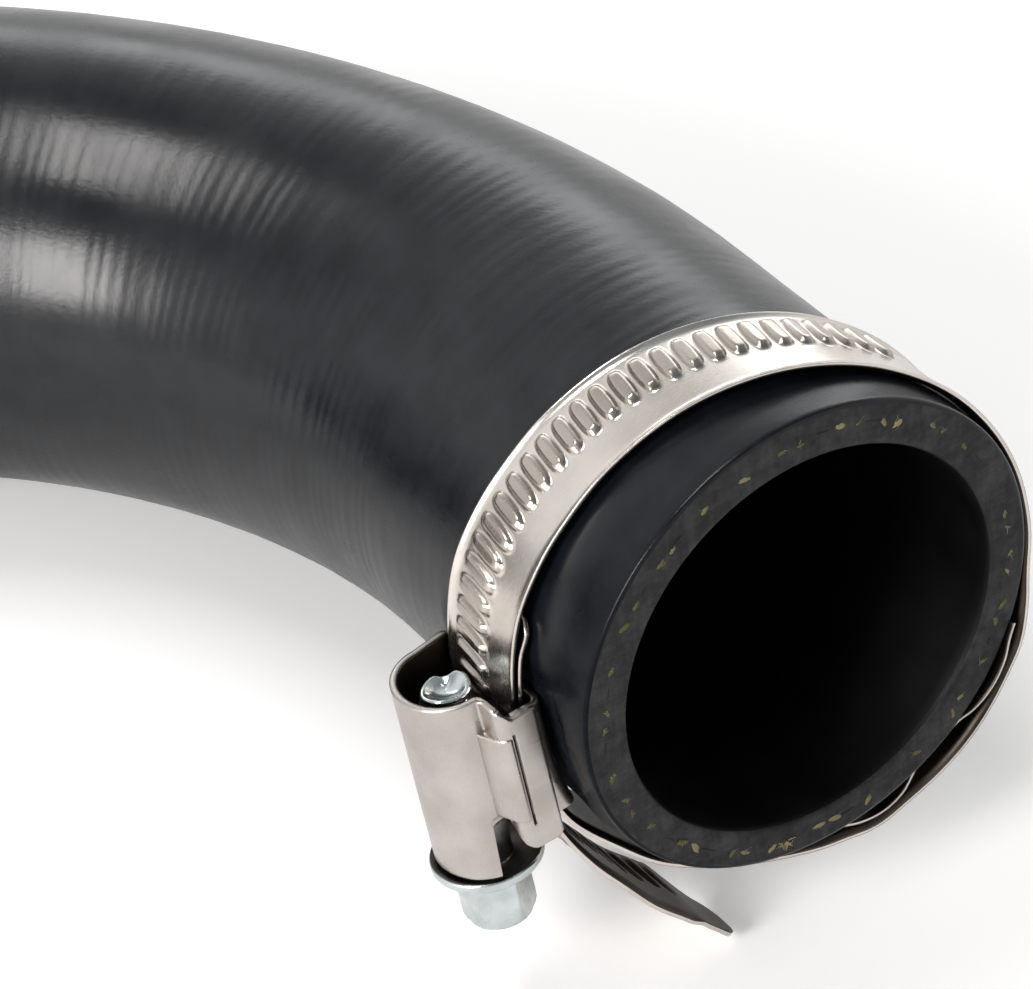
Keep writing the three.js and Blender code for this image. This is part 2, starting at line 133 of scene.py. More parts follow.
def sheet_parts(inner, outer, start=0):
    """Points and quads of a closed sheet between two grids: both faces, then a strip along each edge."""
    rows, columns = inner.shape[:2]
    count = rows * columns
    quads = [grid_quads(rows, columns, start), grid_quads(rows, columns, start + count, flip=True)]
    index = np.arange(count).reshape(rows, columns)
    for line in (index[0][::-1], index[-1], index[:, 0], index[:, -1][::-1]):
        a, b = line[:-1], line[1:]
        quads.append(np.stack([a, b, b + count, a + count], -1) + start)
    return np.concatenate([inner.reshape(-1, 3), outer.reshape(-1, 3)]), np.concatenate(quads)


def paint_shade_on_inner_faces(obj, grid_shape):
    """The first grid of a sheet is its inner face, which takes the second finish: a darker steel, as painted
    shade.
    """
    index = np.zeros(len(obj.data.polygons), dtype=np.int32)
    index[: (grid_shape[0] - 1) * (grid_shape[1] - 1)] = 1
    obj.data.polygons.foreach_set("material_index", index)


def write_values(obj, name, values):
    """A number on each vertex, which a material reads by its name."""
    attribute = obj.data.attributes.new(name, "FLOAT", "POINT")
    attribute.data.foreach_set("value", np.asarray(values, dtype=np.float32).ravel())


def smoothstep(x, low, high):
    """0 below low, 1 above high, and 3t^2 - 2t^3 between, with t the share of the way."""
    t = np.clip((np.asarray(x, float) - low) / (high - low), 0, 1)
    return t * t * (3 - 2 * t)


def angle_from(middle, angle):
    """How far an angle is from a middle one, either way round."""
    return np.abs(np.mod(angle - middle + math.pi, 2 * math.pi) - math.pi)


print("helpers ready")

# %% [markdown]
# The clamp's ring leans on the hose: its left side and its top sit deeper than the rest. Each slice across the
# band is still centred on the hose, so a place on the ring is an angle and a height above the seat, and the
# lean only moves it along the hose. The housing and the screw are stiff, and share a small frame of their own.

# %% The clamp's frames
CLAMP_DEPTH = 5.4
LEAN_SIDEWAYS = math.tan(math.radians(10))
LEAN_UPWARDS = math.tan(math.radians(3))
CLAMP_GAP = 0.3
BAND_WIDTH = 12.0
BAND_THICKNESS = 0.6
RIDGE_HEIGHT = 0.6
RIDGE_PITCH = 2.4
LAYER_GAP = 0.2
SHEET = 0.8
SADDLE_PRESS = 0.7
SADDLE_SAG = 0.0125
SAG_START = -2.0
THREAD_RADIUS = 3.1
THREAD_GAP = 0.4
SEAT_RADIUS = HOSE_RADIUS + CLAMP_GAP
SADDLE_INNER = SEAT_RADIUS - SADDLE_PRESS
FIXED_END_INNER = SADDLE_INNER + SHEET + CLAMP_GAP
RIDGED_INNER = FIXED_END_INNER + BAND_THICKNESS + LAYER_GAP
SCREW_RADIAL = RIDGED_INNER + BAND_THICKNESS + RIDGE_HEIGHT + THREAD_GAP + THREAD_RADIUS
SCREW_ACROSS = BAND_WIDTH / 2 + 0.8
HOUSING_ANGLE = math.radians(10)
PRESS_ENDS = (-13.5, 5.5)
PRESS_MARGIN = 3.5
PRESS_SLOPE = 0.35


def lean(x, z):
    return LEAN_UPWARDS * z - LEAN_SIDEWAYS * x


def beside_screw(outwards, along):
    """A place in the ring's plane: outwards from the hose's axis, and along the screw."""
    c, s = math.cos(HOUSING_ANGLE), math.sin(HOUSING_ANGLE)
    return (-(outwards * c + along * s), along * c - outwards * s)


def on_ring(degrees, stand_off):
    """A place in the ring's plane: R = seat radius + stand-off, at an angle from +X towards +Z."""
    angle = math.radians(degrees)
    radius = SEAT_RADIUS + stand_off
    return (radius * math.cos(angle), radius * math.sin(angle))


ALONG_SCREW = beside_screw(0.0, 1.0)
HOUSING_TURN = math.atan(lean(*ALONG_SCREW))
HOUSING_MATRIX = turn_about((0, 1, 0), -HOUSING_ANGLE) @ turn_about((1, 0, 0), -HOUSING_TURN)
HOUSING_ORIGIN = np.array([0, CLAMP_DEPTH + lean(*beside_screw(SEAT_RADIUS, 0.0)), 0])


def from_housing(outwards, across, along):
    """Housing frame to hose frame: outwards from the hose, across the band, along the screw to its tail."""
    local = np.stack(np.broadcast_arrays(-np.asarray(outwards, float), across, along), -1)
    return local @ HOUSING_MATRIX.T + HOUSING_ORIGIN


def sag(along):
    """How far the saddle falls away below its upper end: a parabola, like the hose's round."""
    return SADDLE_SAG * np.maximum(0, SAG_START - np.asarray(along, float)) ** 2


def housing_sag(across, along):
    return sag(along * math.cos(HOUSING_TURN) - across * math.sin(HOUSING_TURN))


def press_by_clamp(points):
    """Rubber under the saddle is held to a flat limit, which rises by a fixed slope away from it."""
    local = (points - HOUSING_ORIGIN) @ HOUSING_MATRIX
    across, along = local[..., 1], local[..., 2]
    beside = np.maximum(0, np.maximum(-PRESS_MARGIN - across, across - BAND_WIDTH - PRESS_MARGIN))
    above = np.maximum(0, np.maximum(PRESS_ENDS[0] - along, along - PRESS_ENDS[1]))
    limit = SADDLE_INNER - housing_sag(across, along) - CLAMP_GAP + PRESS_SLOPE * np.hypot(beside, above)
    local[..., 0] = np.maximum(local[..., 0], -limit)
    return local @ HOUSING_MATRIX.T + HOUSING_ORIGIN


print("housing turned by", round(math.degrees(HOUSING_TURN), 2), "degrees")

# %% [markdown]
# The hose itself is rubber over a knitted layer of yarn. Its outside keeps the mark of the cloth tape it was
# wrapped in while it cured: fine ripples round the pipe, about two millimetres apart and a little uneven.
# They are small but they catch the light, so they are real geometry here and not only bump. The cut end has
# swollen a little, and its edges are slightly rounded.

# %% The hose's surface
ROUND_SIDES = 128
ROW_STEP = 0.36
SKIN_MARGIN = 0.07
EDGE_ROUND = 0.45
BORE_SHIFT = np.array([0.3, 0.0, -0.45])
END_SHIFT = np.array([0.55, 0.3, -0.65])
TOP_RIGHT = math.radians(48)
TOP_RIGHT_BULGE = 0.5
BELOW_SADDLE = math.radians(226)
BELOW_SADDLE_BULGE = 0.9


def hose_place(s, angle, radius):
    """Centreline point + radius * (cos(angle) * side + sin(angle) * up). The line is a leg, an arc, a leg."""
    turned = np.clip(s - FIRST_LEG, 0, BEND_LENGTH) / BEND_RADIUS
    beyond = np.maximum(0, s - FIRST_LEG - BEND_LENGTH)
    x = -BEND_RADIUS * (1 - np.cos(turned)) - np.sin(turned) * beyond
    y = np.minimum(s, FIRST_LEG) + BEND_RADIUS * np.sin(turned) + np.cos(turned) * beyond
    out = radius * np.cos(angle)
    return np.stack([x + np.cos(turned) * out, y + np.sin(turned) * out, radius * np.sin(angle)], -1)


def wrap_ripple(s, angle):
    """Sum of a ripple that winds slowly round the pipe, with a wandering pitch, and two longer, weaker ones."""
    fade = smoothstep(s, 6, 16) * (1 - smoothstep(s, HOSE_LENGTH - 12, HOSE_LENGTH - 2))
    wander = 1.3 * np.sin(0.21 * s + 1.1) + 0.9 * np.sin(0.57 * s + 0.3) + 0.5 * np.sin(1.13 * s)
    drift = 0.7 * np.sin(2 * angle + 0.07 * s) + 0.5 * np.sin(5 * angle - 0.13 * s + 1.0)
    strength = 0.6 + 0.3 * np.sin(0.23 * s + 2 * angle + 0.7) * np.sin(0.061 * s - 3 * angle)
    fine = np.sin(2 * math.pi * s / 2.2 + wander + drift + angle)
    slow = np.sin(2 * math.pi * s / 9.3 + 2 * angle) * np.cos(2 * math.pi * s / 31 - angle)
    patches = 0.5 + 0.5 * smoothstep(np.sin(4 * angle + 0.045 * s) + 0.6 * np.sin(0.083 * s + angle), -0.6, 1.0)
    return fade * (0.016 * strength * patches * fine + 0.016 * slow)


def end_shift(s):
    """The cut end sits a little off the axis, towards the lower right, and runs true again under the clamp."""
    return (1 - smoothstep(s, 0, 13))[..., None] * END_SHIFT


def clamp_bulges(s, angle):
    """Rubber pushed out where the clamp leaves it room: under the ring's upper right, and below the saddle."""
    top_right = (1 - smoothstep(angle_from(TOP_RIGHT, angle), 0.25, 0.9)) * smoothstep(s, 1, 5)
    top_right = top_right * (1 - smoothstep(s, 13, 20))
    below = (1 - smoothstep(np.abs(angle - BELOW_SADDLE), 0.12, 0.45)) * smoothstep(s, 0.5, 5)
    below = below * (1 - smoothstep(s, 17, 25))
    return TOP_RIGHT_BULGE * top_right + BELOW_SADDLE_BULGE * below


def hose_outside():
    """Radius(s, angle) = body radius + end swell + ripple + bulges, less a small round at both ends."""
    round_in = np.array([0.0, 0.08, 0.22, 0.45, 0.8])
    s = np.concatenate([round_in, np.arange(1.2, HOSE_LENGTH - 1, ROW_STEP), HOSE_LENGTH - round_in[::-1]])
    angle = np.linspace(0, 2 * math.pi, ROUND_SIDES, endpoint=False)
    s, angle = np.meshgrid(s, angle, indexing="ij")
    edge = np.minimum(s, HOSE_LENGTH - s)
    rounded = EDGE_ROUND - np.sqrt(np.maximum(0, EDGE_ROUND**2 - np.maximum(0, EDGE_ROUND - edge) ** 2))
    uneven = 0.1 * np.sin(2 * angle + 0.6) * np.sin(3 * angle) * (1 - smoothstep(s, 0, 6))
    swell = END_SWELL * (1 - smoothstep(s, 0, SWELL_LENGTH))
    radius = HOSE_RADIUS - SKIN_MARGIN + swell + wrap_ripple(s, angle)
    radius = radius - rounded + uneven + clamp_bulges(s, angle)
    near = s[:, 0] < FIRST_LEG
    points = hose_place(s, angle, radius) + end_shift(s)
    points[near] = press_by_clamp(points[near])
    return points


def hose_face(at_far_end):
    """The cut face: rings from the outer edge to the bore, with saw marks of a few hundredths."""
    share = np.array([0.0, 0.06, 0.2, 0.35, 0.5, 0.65, 0.8, 0.93, 1.0])
    angle = np.linspace(0, 2 * math.pi, ROUND_SIDES, endpoint=False)
    share, angle = np.meshgrid(share, angle, indexing="ij")
    swell = 0 if at_far_end else END_SWELL
    outer = HOSE_RADIUS - SKIN_MARGIN + swell - EDGE_ROUND
    radius = outer + (BORE_RADIUS + 0.3 - outer) * share
    depth = 0.05 * np.sin(7 * angle + 9 * share) * np.sin(math.pi * share) + 0.25 * (share > 0.99)
    s = HOSE_LENGTH - depth if at_far_end else depth
    shift = 0 if at_far_end else end_shift(s) + share[..., None] * BORE_SHIFT
    return hose_place(s, angle, radius) + shift


def hose_bore():
    """The bore: a plain tube with the same centreline, a little wider at its mouths."""
    mouth_rows = np.array([0.25, 0.8])
    s = np.concatenate([mouth_rows, np.linspace(2, HOSE_LENGTH - 2, 90), HOSE_LENGTH - mouth_rows[::-1]])
    angle = np.linspace(0, 2 * math.pi, ROUND_SIDES, endpoint=False)
    s, angle = np.meshgrid(s, angle, indexing="ij")
    mouth = np.minimum(s, HOSE_LENGTH - s)
    radius = BORE_RADIUS + 0.3 * (1 - smoothstep(mouth, 0.2, 1.2))
    off_axis = (1 - smoothstep(s, 0, 25))[..., None] * BORE_SHIFT
    return hose_place(s, angle, radius) + end_shift(s) + off_axis


outside = hose_outside()
near_face = hose_face(False)[1:]
bore = hose_bore()
far_face = hose_face(True)[1:-1][::-1]
loop = np.concatenate([outside[::-1], near_face, bore[1:], far_face])
ring_count = len(loop)
hose_quads = grid_quads(ring_count + 1, ROUND_SIDES, wrap=True) % (ring_count * ROUND_SIDES)
hose = make_piece("moulded_hose", loop.reshape(-1, 3), hose_quads)
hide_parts("hose")
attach(hose, "hose_with_clamp")

# %% [markdown]
# Three finishes meet on the hose: the wrapped outside, the matt cut faces and the bore, which is made darker and
# less glossy as painted shade. They are three material slots on one mesh, and each face's row on the grid says
# which one it gets.

# %% Which faces are cut, and which are bore
outside_rows = len(outside)
first_bore = outside_rows + len(near_face) - 1
last_bore = first_bore + len(bore) - 2
slot_of_row = np.ones(ring_count, dtype=np.int32)
slot_of_row[: outside_rows - 1] = 0
slot_of_row[first_bore: last_bore + 1] = 2
hose.data.polygons.foreach_set("material_index", np.repeat(slot_of_row, ROUND_SIDES))
print("rows of each finish", np.bincount(slot_of_row))

# %% [markdown]
# The rubber in front of the clamp has its gloss turned down, most of all at the lower left, and so has the rubber
# in the wedge below the saddle. This is painted shade: it stands in for the shadow that falls on what these
# places reflect. A number on each vertex says how much gloss is taken away.

# %% Where the gloss is turned down as painted shade
row, around = np.meshgrid(np.arange(ring_count), np.arange(ROUND_SIDES), indexing="ij")
around = around * 2 * math.pi / ROUND_SIDES
from_end = np.where(row < outside_rows, (outside_rows - row) * ROW_STEP, 0)
low_left = 1 - smoothstep(np.abs(around - math.radians(195)), 0.5, 1.3)
front_ring_shade = (1 - smoothstep(from_end, 5, 11)) * (0.35 + 0.65 * low_left)
wedge_shade = (1 - smoothstep(np.abs(around - math.radians(228)), 0.3, 0.6)) * (1 - smoothstep(from_end, 22, 28))
write_values(hose, "reflection_shade", np.maximum(front_ring_shade, wedge_shade))
print("dull vertices", int((front_ring_shade > 0.5).sum()))

# %% [markdown]
# The reinforcement is a knitted yarn, so the saw cuts it in pairs of loops all round the wall. The ends are
# olive and yellow against the black, slightly proud and frayed. Each is a small lens laid on the cut face with
# a few loose fibres, thin black lenses between the pairs paint the shade inside the slits there, and one tuft
# near the bottom is badly frayed. A seeded random order makes them uneven.

# %% Yarn ends on the cut face
YARN_PAIRS = 26
YARN_RADIUS = BORE_RADIUS + 2.75
FRAYED_TUFT = 265.6
TUFT_FIBRES = 30
LENS_ROWS = 7
LENS_SIDES = 12
yarn_order = np.random.default_rng(7)


def yarn_lens(angle, radius, length, width, height, twist):
    """Half a flat ellipsoid, frayed by noise: (length cos v cos u, width cos v sin u, height sin v)."""
    round_sides = np.arange(LENS_SIDES) * 2 * math.pi / LENS_SIDES
    v, u = np.meshgrid(np.linspace(0, math.pi / 2, LENS_ROWS), round_sides, indexing="ij")
    fray = 1 + 0.22 * yarn_order.standard_normal(v.shape) * (v < 1.5)
    along = length * np.cos(v) * np.cos(u) * fray
    across = width * np.cos(v) * np.sin(u) * fray
    turned_along = along * math.cos(twist) - across * math.sin(twist)
    turned_across = along * math.sin(twist) + across * math.cos(twist)
    r = radius + turned_across
    a = angle + turned_along / radius
    depth = 0.1 - (height * np.sin(v) + 0.1) * (0.85 + 0.15 * fray)
    return np.stack([r * np.cos(a), depth, r * np.sin(a)], -1)


def fibre(start, step, thickness):
    """A bent three-sided hair of four rings, from a start along a step, both in the hose frame."""
    t = np.linspace(0, 1, 4)[:, None, None]
    bend = yarn_order.normal(0, 0.2, 3) * np.array([1, 0.15, 1])
    side = np.arange(3) * 2 * math.pi / 3
    ring = np.stack([np.cos(side), np.zeros(3), np.sin(side)], -1) * thickness * (1 - 0.6 * t)
    return start + step * t + bend * t**2 + ring


def yarn_piece():
    points, quads, shades = [], [], []
    total = 0

    def add(grid, shade):
        nonlocal total
        rows_here, sides = grid.shape[:2]
        points.append(grid.reshape(-1, 3))
        quads.append(grid_quads(rows_here, sides, total, wrap=True))
        shades.append(np.full(rows_here * sides, shade))
        total += rows_here * sides

    for k in range(YARN_PAIRS):
        middle = 2 * math.pi * (k + yarn_order.uniform(-0.16, 0.16)) / YARN_PAIRS
        for side in (-1, 1):
            if yarn_order.random() < 0.14:
                continue
            angle = middle + side * yarn_order.uniform(0.030, 0.050)
            radius = YARN_RADIUS + yarn_order.uniform(-0.3, 0.3)
            size = yarn_order.uniform(0.5, 1.0)
            add(yarn_lens(angle, radius, 0.72 * size, 0.34 * size, 0.06, yarn_order.normal(0.4 * side, 0.3)),
                yarn_order.uniform(0.15, 0.6))
            for _ in range(3):
                start = np.array([radius * math.cos(angle), 0.0, radius * math.sin(angle)])
                start = start + yarn_order.normal(0, 0.2, 3) * np.array([1, 0, 1])
                step = yarn_order.normal(0, 0.28, 3) * np.array([1, 0.2, 1]) - np.array([0, 0.1, 0])
                add(fibre(start, step, 0.05), yarn_order.uniform(0.3, 0.8))
        # Painted shade: a black lens, nearly flush, stands in for the shade inside a slit between the pairs
        slit_shade = middle + math.pi / YARN_PAIRS + yarn_order.normal(0, 0.02)
        slit_shade_radius = YARN_RADIUS + yarn_order.uniform(-0.15, 0.15)
        slit_shade_length = yarn_order.uniform(0.5, 1.3)
        add(yarn_lens(slit_shade, slit_shade_radius, slit_shade_length, 0.09, 0.01, yarn_order.normal(0, 0.06)), 0.0)
    for _ in range(TUFT_FIBRES):
        angle = math.radians(FRAYED_TUFT + yarn_order.normal(0, 1.3))
        radius = YARN_RADIUS + 0.15 + yarn_order.normal(0, 0.22)
        start = np.array([radius * math.cos(angle), 0.0, radius * math.sin(angle)])
        step = yarn_order.normal(0, 0.5, 3) * np.array([1, 0.25, 0.7]) - np.array([0, 0.15, 0])
        add(fibre(start, step, 0.06), yarn_order.uniform(0.75, 1))
    shade = np.concatenate(shades)
    placed = np.concatenate(points) + end_shift(np.zeros(len(shade))) + 0.5 * BORE_SHIFT
    return make_piece("yarn_ends", placed, np.concatenate(quads), uv=np.stack([shade, shade], -1))


yarn = yarn_piece()
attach(yarn, "hose_with_clamp")

# %% [markdown]
# The band is one stainless strip. A press raises slanted ridges, which the screw's thread pulls on, and rolls
# both edges up so that they do not cut the rubber. Its path is a smooth curve through points that were read
# off the photo as an angle and a height above the seat, and the same points shape the CAD strip. The path's
# first points are the fixed end under the housing; it then goes once round and passes over its own start.

# %% A smooth path for the strips
def smooth_path(points, per_span=80):
    """Centripetal Catmull-Rom curve: each span is a cubic whose end slopes use spans of |p1 - p0| ** 0.5."""
    p = np.asarray(points, float)
    p = np.concatenate([[2 * p[0] - p[1]], p, [2 * p[-1] - p[-2]]])
    a, b, c, d = p[:-3, None], p[1:-2, None], p[2:-1, None], p[3:, None]
    da, db, dc = (np.sqrt(np.linalg.norm(y - x, axis=-1, keepdims=True)) for x, y in ((a, b), (b, c), (c, d)))
    out = ((b - a) / da - (c - a) / (da + db) + (c - b) / db) * db
    into = ((c - b) / db - (d - b) / (db + dc) + (d - c) / dc) * db
    t = np.linspace(0, 1, per_span, endpoint=False)[None, :, None]
    curve = b + out * t + (3 * (c - b) - 2 * out - into) * t**2 + (2 * (b - c) + out + into) * t**3
    curve = np.concatenate([curve.reshape(-1, 2), p[-2:-1]])
    length = np.concatenate([[0], np.cumsum(np.linalg.norm(np.diff(curve, axis=0), axis=1))])
    slope = np.gradient(curve, length, axis=0)
    return length, curve, slope / np.linalg.norm(slope, axis=1, keepdims=True)


def strip_points(path, s, across, out):
    """Path point + out * normal, with the normal a quarter turn from the slope; the lean sets its depth."""
    length, curve, slope = path
    x, z, tx, tz = (np.interp(s, length, values) for values in (*curve.T, *slope.T))
    base_depth = CLAMP_DEPTH + across
    px, pz = x + tz * out, z - tx * out
    return np.stack([px, base_depth + lean(x, z) + 0 * out, pz], -1)


def rounded_edges(inner, outer, radius=0.1):
    """Draws the edge points of both faces towards each other, so that a cut edge catches the light."""
    through = outer - inner
    through = through / np.linalg.norm(through, axis=-1, keepdims=True)
    edge = np.zeros(inner.shape[:2], dtype=bool)
    edge[[0, -1], :] = True
    edge[:, [0, -1]] = True
    shift = np.where(edge[..., None], radius * through, 0)
    return inner + shift, outer - shift


def strip_piece(name, inner, outer, radius, s_grid, across_grid):
    """A strip as a piece, with the length along it and the place across it as its texture coordinates."""
    points, quads = sheet_parts(*rounded_edges(inner, outer, radius))
    strip_uv = np.stack([s_grid, across_grid], -1).reshape(-1, 2) / 10
    piece = make_piece(name, points, quads, uv=np.concatenate([strip_uv, strip_uv]))
    paint_shade_on_inner_faces(piece, s_grid.shape)
    return piece


SCREW_SIDE = (1.0, -4.0, -9.0)
RING_POINTS = [
    (234, 2.3), (246, 2.9), (262, 3.05), (278, 3.9), (285, 4.3), (291, 4.8), (299, 4.3), (307, 4.05), (315, 3.7),
    (323, 3.2), (332, 2.7), (337, 2.5), (345, 1.65), (354, 0.8), (365, 0.75), (380, 0.75), (395, 0.7),
    (410, 0.6), (430, 0.45), (450, 0.4), (470, 0.4), (490, 0.35), (506, 0.4), (516, 0.65), (526, 0.95),
    (536, 1.0),
]
TAIL_POINTS = [(4.1, -21.4), (6.8, -25.8), (9.6, -30.1), (13.2, -34.1), (15.7, -37.5), (18.4, -40.9)]
band_path = smooth_path(
    [on_ring(166, 0.05), on_ring(176, 0.15)]
    + [beside_screw(FIXED_END_INNER - sag(t), t) for t in (*SCREW_SIDE, -14.5)]
    + [on_ring(*place) for place in RING_POINTS]
    + [beside_screw(RIDGED_INNER - 0.7 * sag(t), t) for t in (*SCREW_SIDE, -15.5)]
    + [beside_screw(RIDGED_INNER - inwards, t) for inwards, t in TAIL_POINTS]
)
BAND_LENGTH = band_path[0][-1]
print("band", round(float(BAND_LENGTH), 1), "mm long")

# %% Ridges and rolled edges of the band
RIDGE_COUNT = 44
TAIL_TONGUE = 7.0
TONGUE_SHARE = 6.2 / BAND_WIDTH
TONGUE_TO_FRONT = 0.4
TONGUE_DROOP = 0.15
TIP_LENGTH = 2.6
RIDGE_HALF_WIDTH = 1.14
TOP_TAPER = 0.35
RIDGED_END = BAND_LENGTH - TAIL_TONGUE
RIDGED_START = RIDGED_END - RIDGE_COUNT * RIDGE_PITCH
SLANT = RIDGE_PITCH / (2 * math.pi * (THREAD_RADIUS - 0.35))
RIDGE_FRONT = 4.7
RIDGE_BACK = 10.8
LIP_WIDTH = 1.0
LIP_HEIGHT = 0.45


def ridge_share(s, across):
    """An oval per ridge, flat on top: 1 - smoothstep(from_middle / width), where width is a rounded curve."""
    along = s + SLANT * (across - BAND_WIDTH / 2) - RIDGED_START
    from_middle = np.abs(np.mod(along, RIDGE_PITCH) - RIDGE_PITCH / 2)
    from_centre = np.clip(np.abs(2 * across - RIDGE_FRONT - RIDGE_BACK) / (RIDGE_BACK - RIDGE_FRONT), 0, 1)
    width = RIDGE_HALF_WIDTH * np.sqrt(1.02 - from_centre**2.6)
    on = (along > 0) & (along < RIDGE_COUNT * RIDGE_PITCH)
    return (1 - smoothstep(from_middle / width, 0.42, 1.0)) * (1 - smoothstep(from_centre, 0.68, 1.0)) * on


def band_rise(s, across):
    """Height of the pressed shape: the ridges, and a lip that rolls up along both edges."""
    edge = np.minimum(across, BAND_WIDTH - across)
    lip_on = smoothstep(s, 2, 5) * (1 - smoothstep(s, RIDGED_END - 2, RIDGED_END))
    lip = LIP_HEIGHT * np.clip(1 - edge / LIP_WIDTH, 0, 1) ** 2 * lip_on
    return RIDGE_HEIGHT * ridge_share(s, across) + lip


def tongue_share(s):
    """0 on the ridged band, 1 on the tongue, which keeps nearer to the front edge and droops a little."""
    return smoothstep(s - RIDGED_END, -1.0, 4.6)


def band_width_share(s):
    """1 along the band; drawn in over the first 2 mm, and down to the narrow tongue with its round tip."""
    start = np.interp(s, [0, 0.8, 2], [0.55, 0.85, 1.0])
    into_tip = np.clip(s - RIDGED_END - TAIL_TONGUE + TIP_LENGTH, 0, None)
    tip = np.sqrt(np.clip(1 - (into_tip / (TIP_LENGTH + 0.05)) ** 2, 0.02, 1))
    return start * (1 - (1 - TONGUE_SHARE) * tongue_share(s)) * tip


def strip_columns(width, edge_steps, middle_step):
    """Places across a strip: fine near both edges, even between."""
    steps = np.asarray(edge_steps)
    count = max(2, int(round((width - 2 * steps[-1]) / middle_step)) + 1)
    middle = np.linspace(steps[-1], width - steps[-1], count)
    return np.concatenate([steps[:-1], middle, (width - steps[:-1])[::-1]])


plain = np.arange(2.6, RIDGED_START - 1.5, 0.8)
fine = np.arange(RIDGED_START - 1.2, RIDGED_END + 0.3, 0.2)
tongue = np.concatenate([np.arange(RIDGED_END + 0.5, BAND_LENGTH - 2.2, 0.5), BAND_LENGTH - np.array(
    [2.2, 1.9, 1.6, 1.3, 1.0, 0.75, 0.5, 0.3, 0.15, 0.08, 0.0])])
band_s = np.concatenate([[0, 0.1, 0.4, 0.8, 1.3, 2.0], plain, fine, tongue])
band_across = strip_columns(BAND_WIDTH, [0, 0.1, 0.25, 0.45, 0.7, 1.0, 1.3], 0.32)
s_grid, across_grid = np.meshgrid(band_s, band_across, indexing="ij")
strip_centre = BAND_WIDTH / 2 * (1 - TONGUE_TO_FRONT * (1 - TONGUE_SHARE) * tongue_share(s_grid))
placed_across = strip_centre + (across_grid - BAND_WIDTH / 2) * band_width_share(s_grid)
rise = band_rise(s_grid, across_grid) + TONGUE_DROOP * tongue_share(s_grid)
base = strip_points(band_path, s_grid, placed_across, 0 * s_grid)
taper = TOP_TAPER * across_grid / BAND_WIDTH * smoothstep(base[..., 2], 8, 20)
band_inner = strip_points(band_path, s_grid, placed_across, rise - taper)
band_outer = strip_points(band_path, s_grid, placed_across, rise - taper + BAND_THICKNESS)
band = strip_piece("rolled_band", band_inner, band_outer, 0.11, s_grid, across_grid)
write_values(band, "pressed", np.tile(ridge_share(s_grid, across_grid).ravel(), 2))
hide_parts("clamp_band")
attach(band, "hose_with_clamp")

# %% [markdown]
# A thin wavy spring lies inside the band, so the clamp keeps its grip when the rubber shrinks in the cold. It
# touches the hose at its ends and in its middle and bows out between, which a cubic through a few stand-offs
# follows well.

# %% The spring insert
SPRING_BOWS = [
    (258, 0.45), (268, 0.55), (275, 0.85), (282, 2.0), (288, 3.2), (293, 3.5), (298, 2.9), (303, 1.4), (307, 0.9),
    (312, 0.85), (317, 0.9), (321, 1.6), (327, 1.9), (333, 1.6), (338, 1.0), (342, 0.85),
]
SPRING_THICKNESS = 0.4
SPRING_OVERHANG = 0.4
spring_path = smooth_path([on_ring(*bow) for bow in SPRING_BOWS])
spring_s = strip_columns(spring_path[0][-1], [0, 0.08, 0.3, 0.7], 0.4)
spring_across = strip_columns(BAND_WIDTH + SPRING_OVERHANG, [0, 0.08, 0.3, 0.7], 0.8)
s_grid, across_grid = np.meshgrid(spring_s, spring_across, indexing="ij")
spring_faces = [strip_points(spring_path, s_grid, across_grid - SPRING_OVERHANG, out)
                for out in (0, SPRING_THICKNESS)]
spring = strip_piece("wavy_spring", *spring_faces, 0.07, s_grid, across_grid)
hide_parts("spring_insert")
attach(spring, "hose_with_clamp")

# %% [markdown]
# The housing is one folded sheet: its saddle lies under the band, its back rises to the screw tube, the tube
# wraps round the thread, and the front flange comes down over the fold of the saddle. Its section is drawn as
# a line of bends once, and every point of the line runs from a lower to an upper end along the screw.

# %% The housing's section
SIDE_GAP = 0.65
FOLD_GAP = 0.15
TUBE_TOP = 4.2
TUBE_BOTTOM = -18.4
SADDLE_ENDS = (-13.5, 2.0)
FLANGE_ENDS = (-14.4, 2.3)
NOTCH_TOP = -12.3
HOOK_TOP = NOTCH_TOP + 1.05
LUG_ENDS = (-10.6, 0.2)
GROOVE_DEPTH = 0.6
FOLD_LEVEL = -SIDE_GAP - SHEET / 2
FLANGE_LEVEL = FOLD_LEVEL - SHEET - FOLD_GAP
BACK_LEVEL = BAND_WIDTH + SIDE_GAP + SHEET / 2
SADDLE_LEVEL = SADDLE_INNER + SHEET / 2
TUBE_RADIUS = 4.5 + SHEET / 2
TUBE_DEPTH = TUBE_RADIUS * 1.14
VALLEY = SCREW_RADIAL - 1.9
TUBE_FRONT = SCREW_ACROSS - TUBE_DEPTH
NOTCH_END = SCREW_RADIAL + 1.2


def bend_line(start, *handles, steps=14):
    """A Bezier curve of any degree, by de Casteljau's repeated averages."""
    t = np.linspace(0, 1, steps + 1)[:, None]
    rings = [np.broadcast_to(np.asarray(h, float), (steps + 1, 2)) for h in (start, *handles)]
    while len(rings) > 1:
        rings = [a * (1 - t) + b * t for a, b in zip(rings[:-1], rings[1:])]
    return rings[0]


def even_line(a, b, step=0.5):
    count = max(1, int(np.ceil(np.linalg.norm(np.subtract(b, a)) / step)))
    return np.linspace(a, b, count + 1)


def without_repeats(line):
    keep = np.concatenate([[True], np.linalg.norm(np.diff(line, axis=0), axis=1) > 1e-4])
    return line[keep]


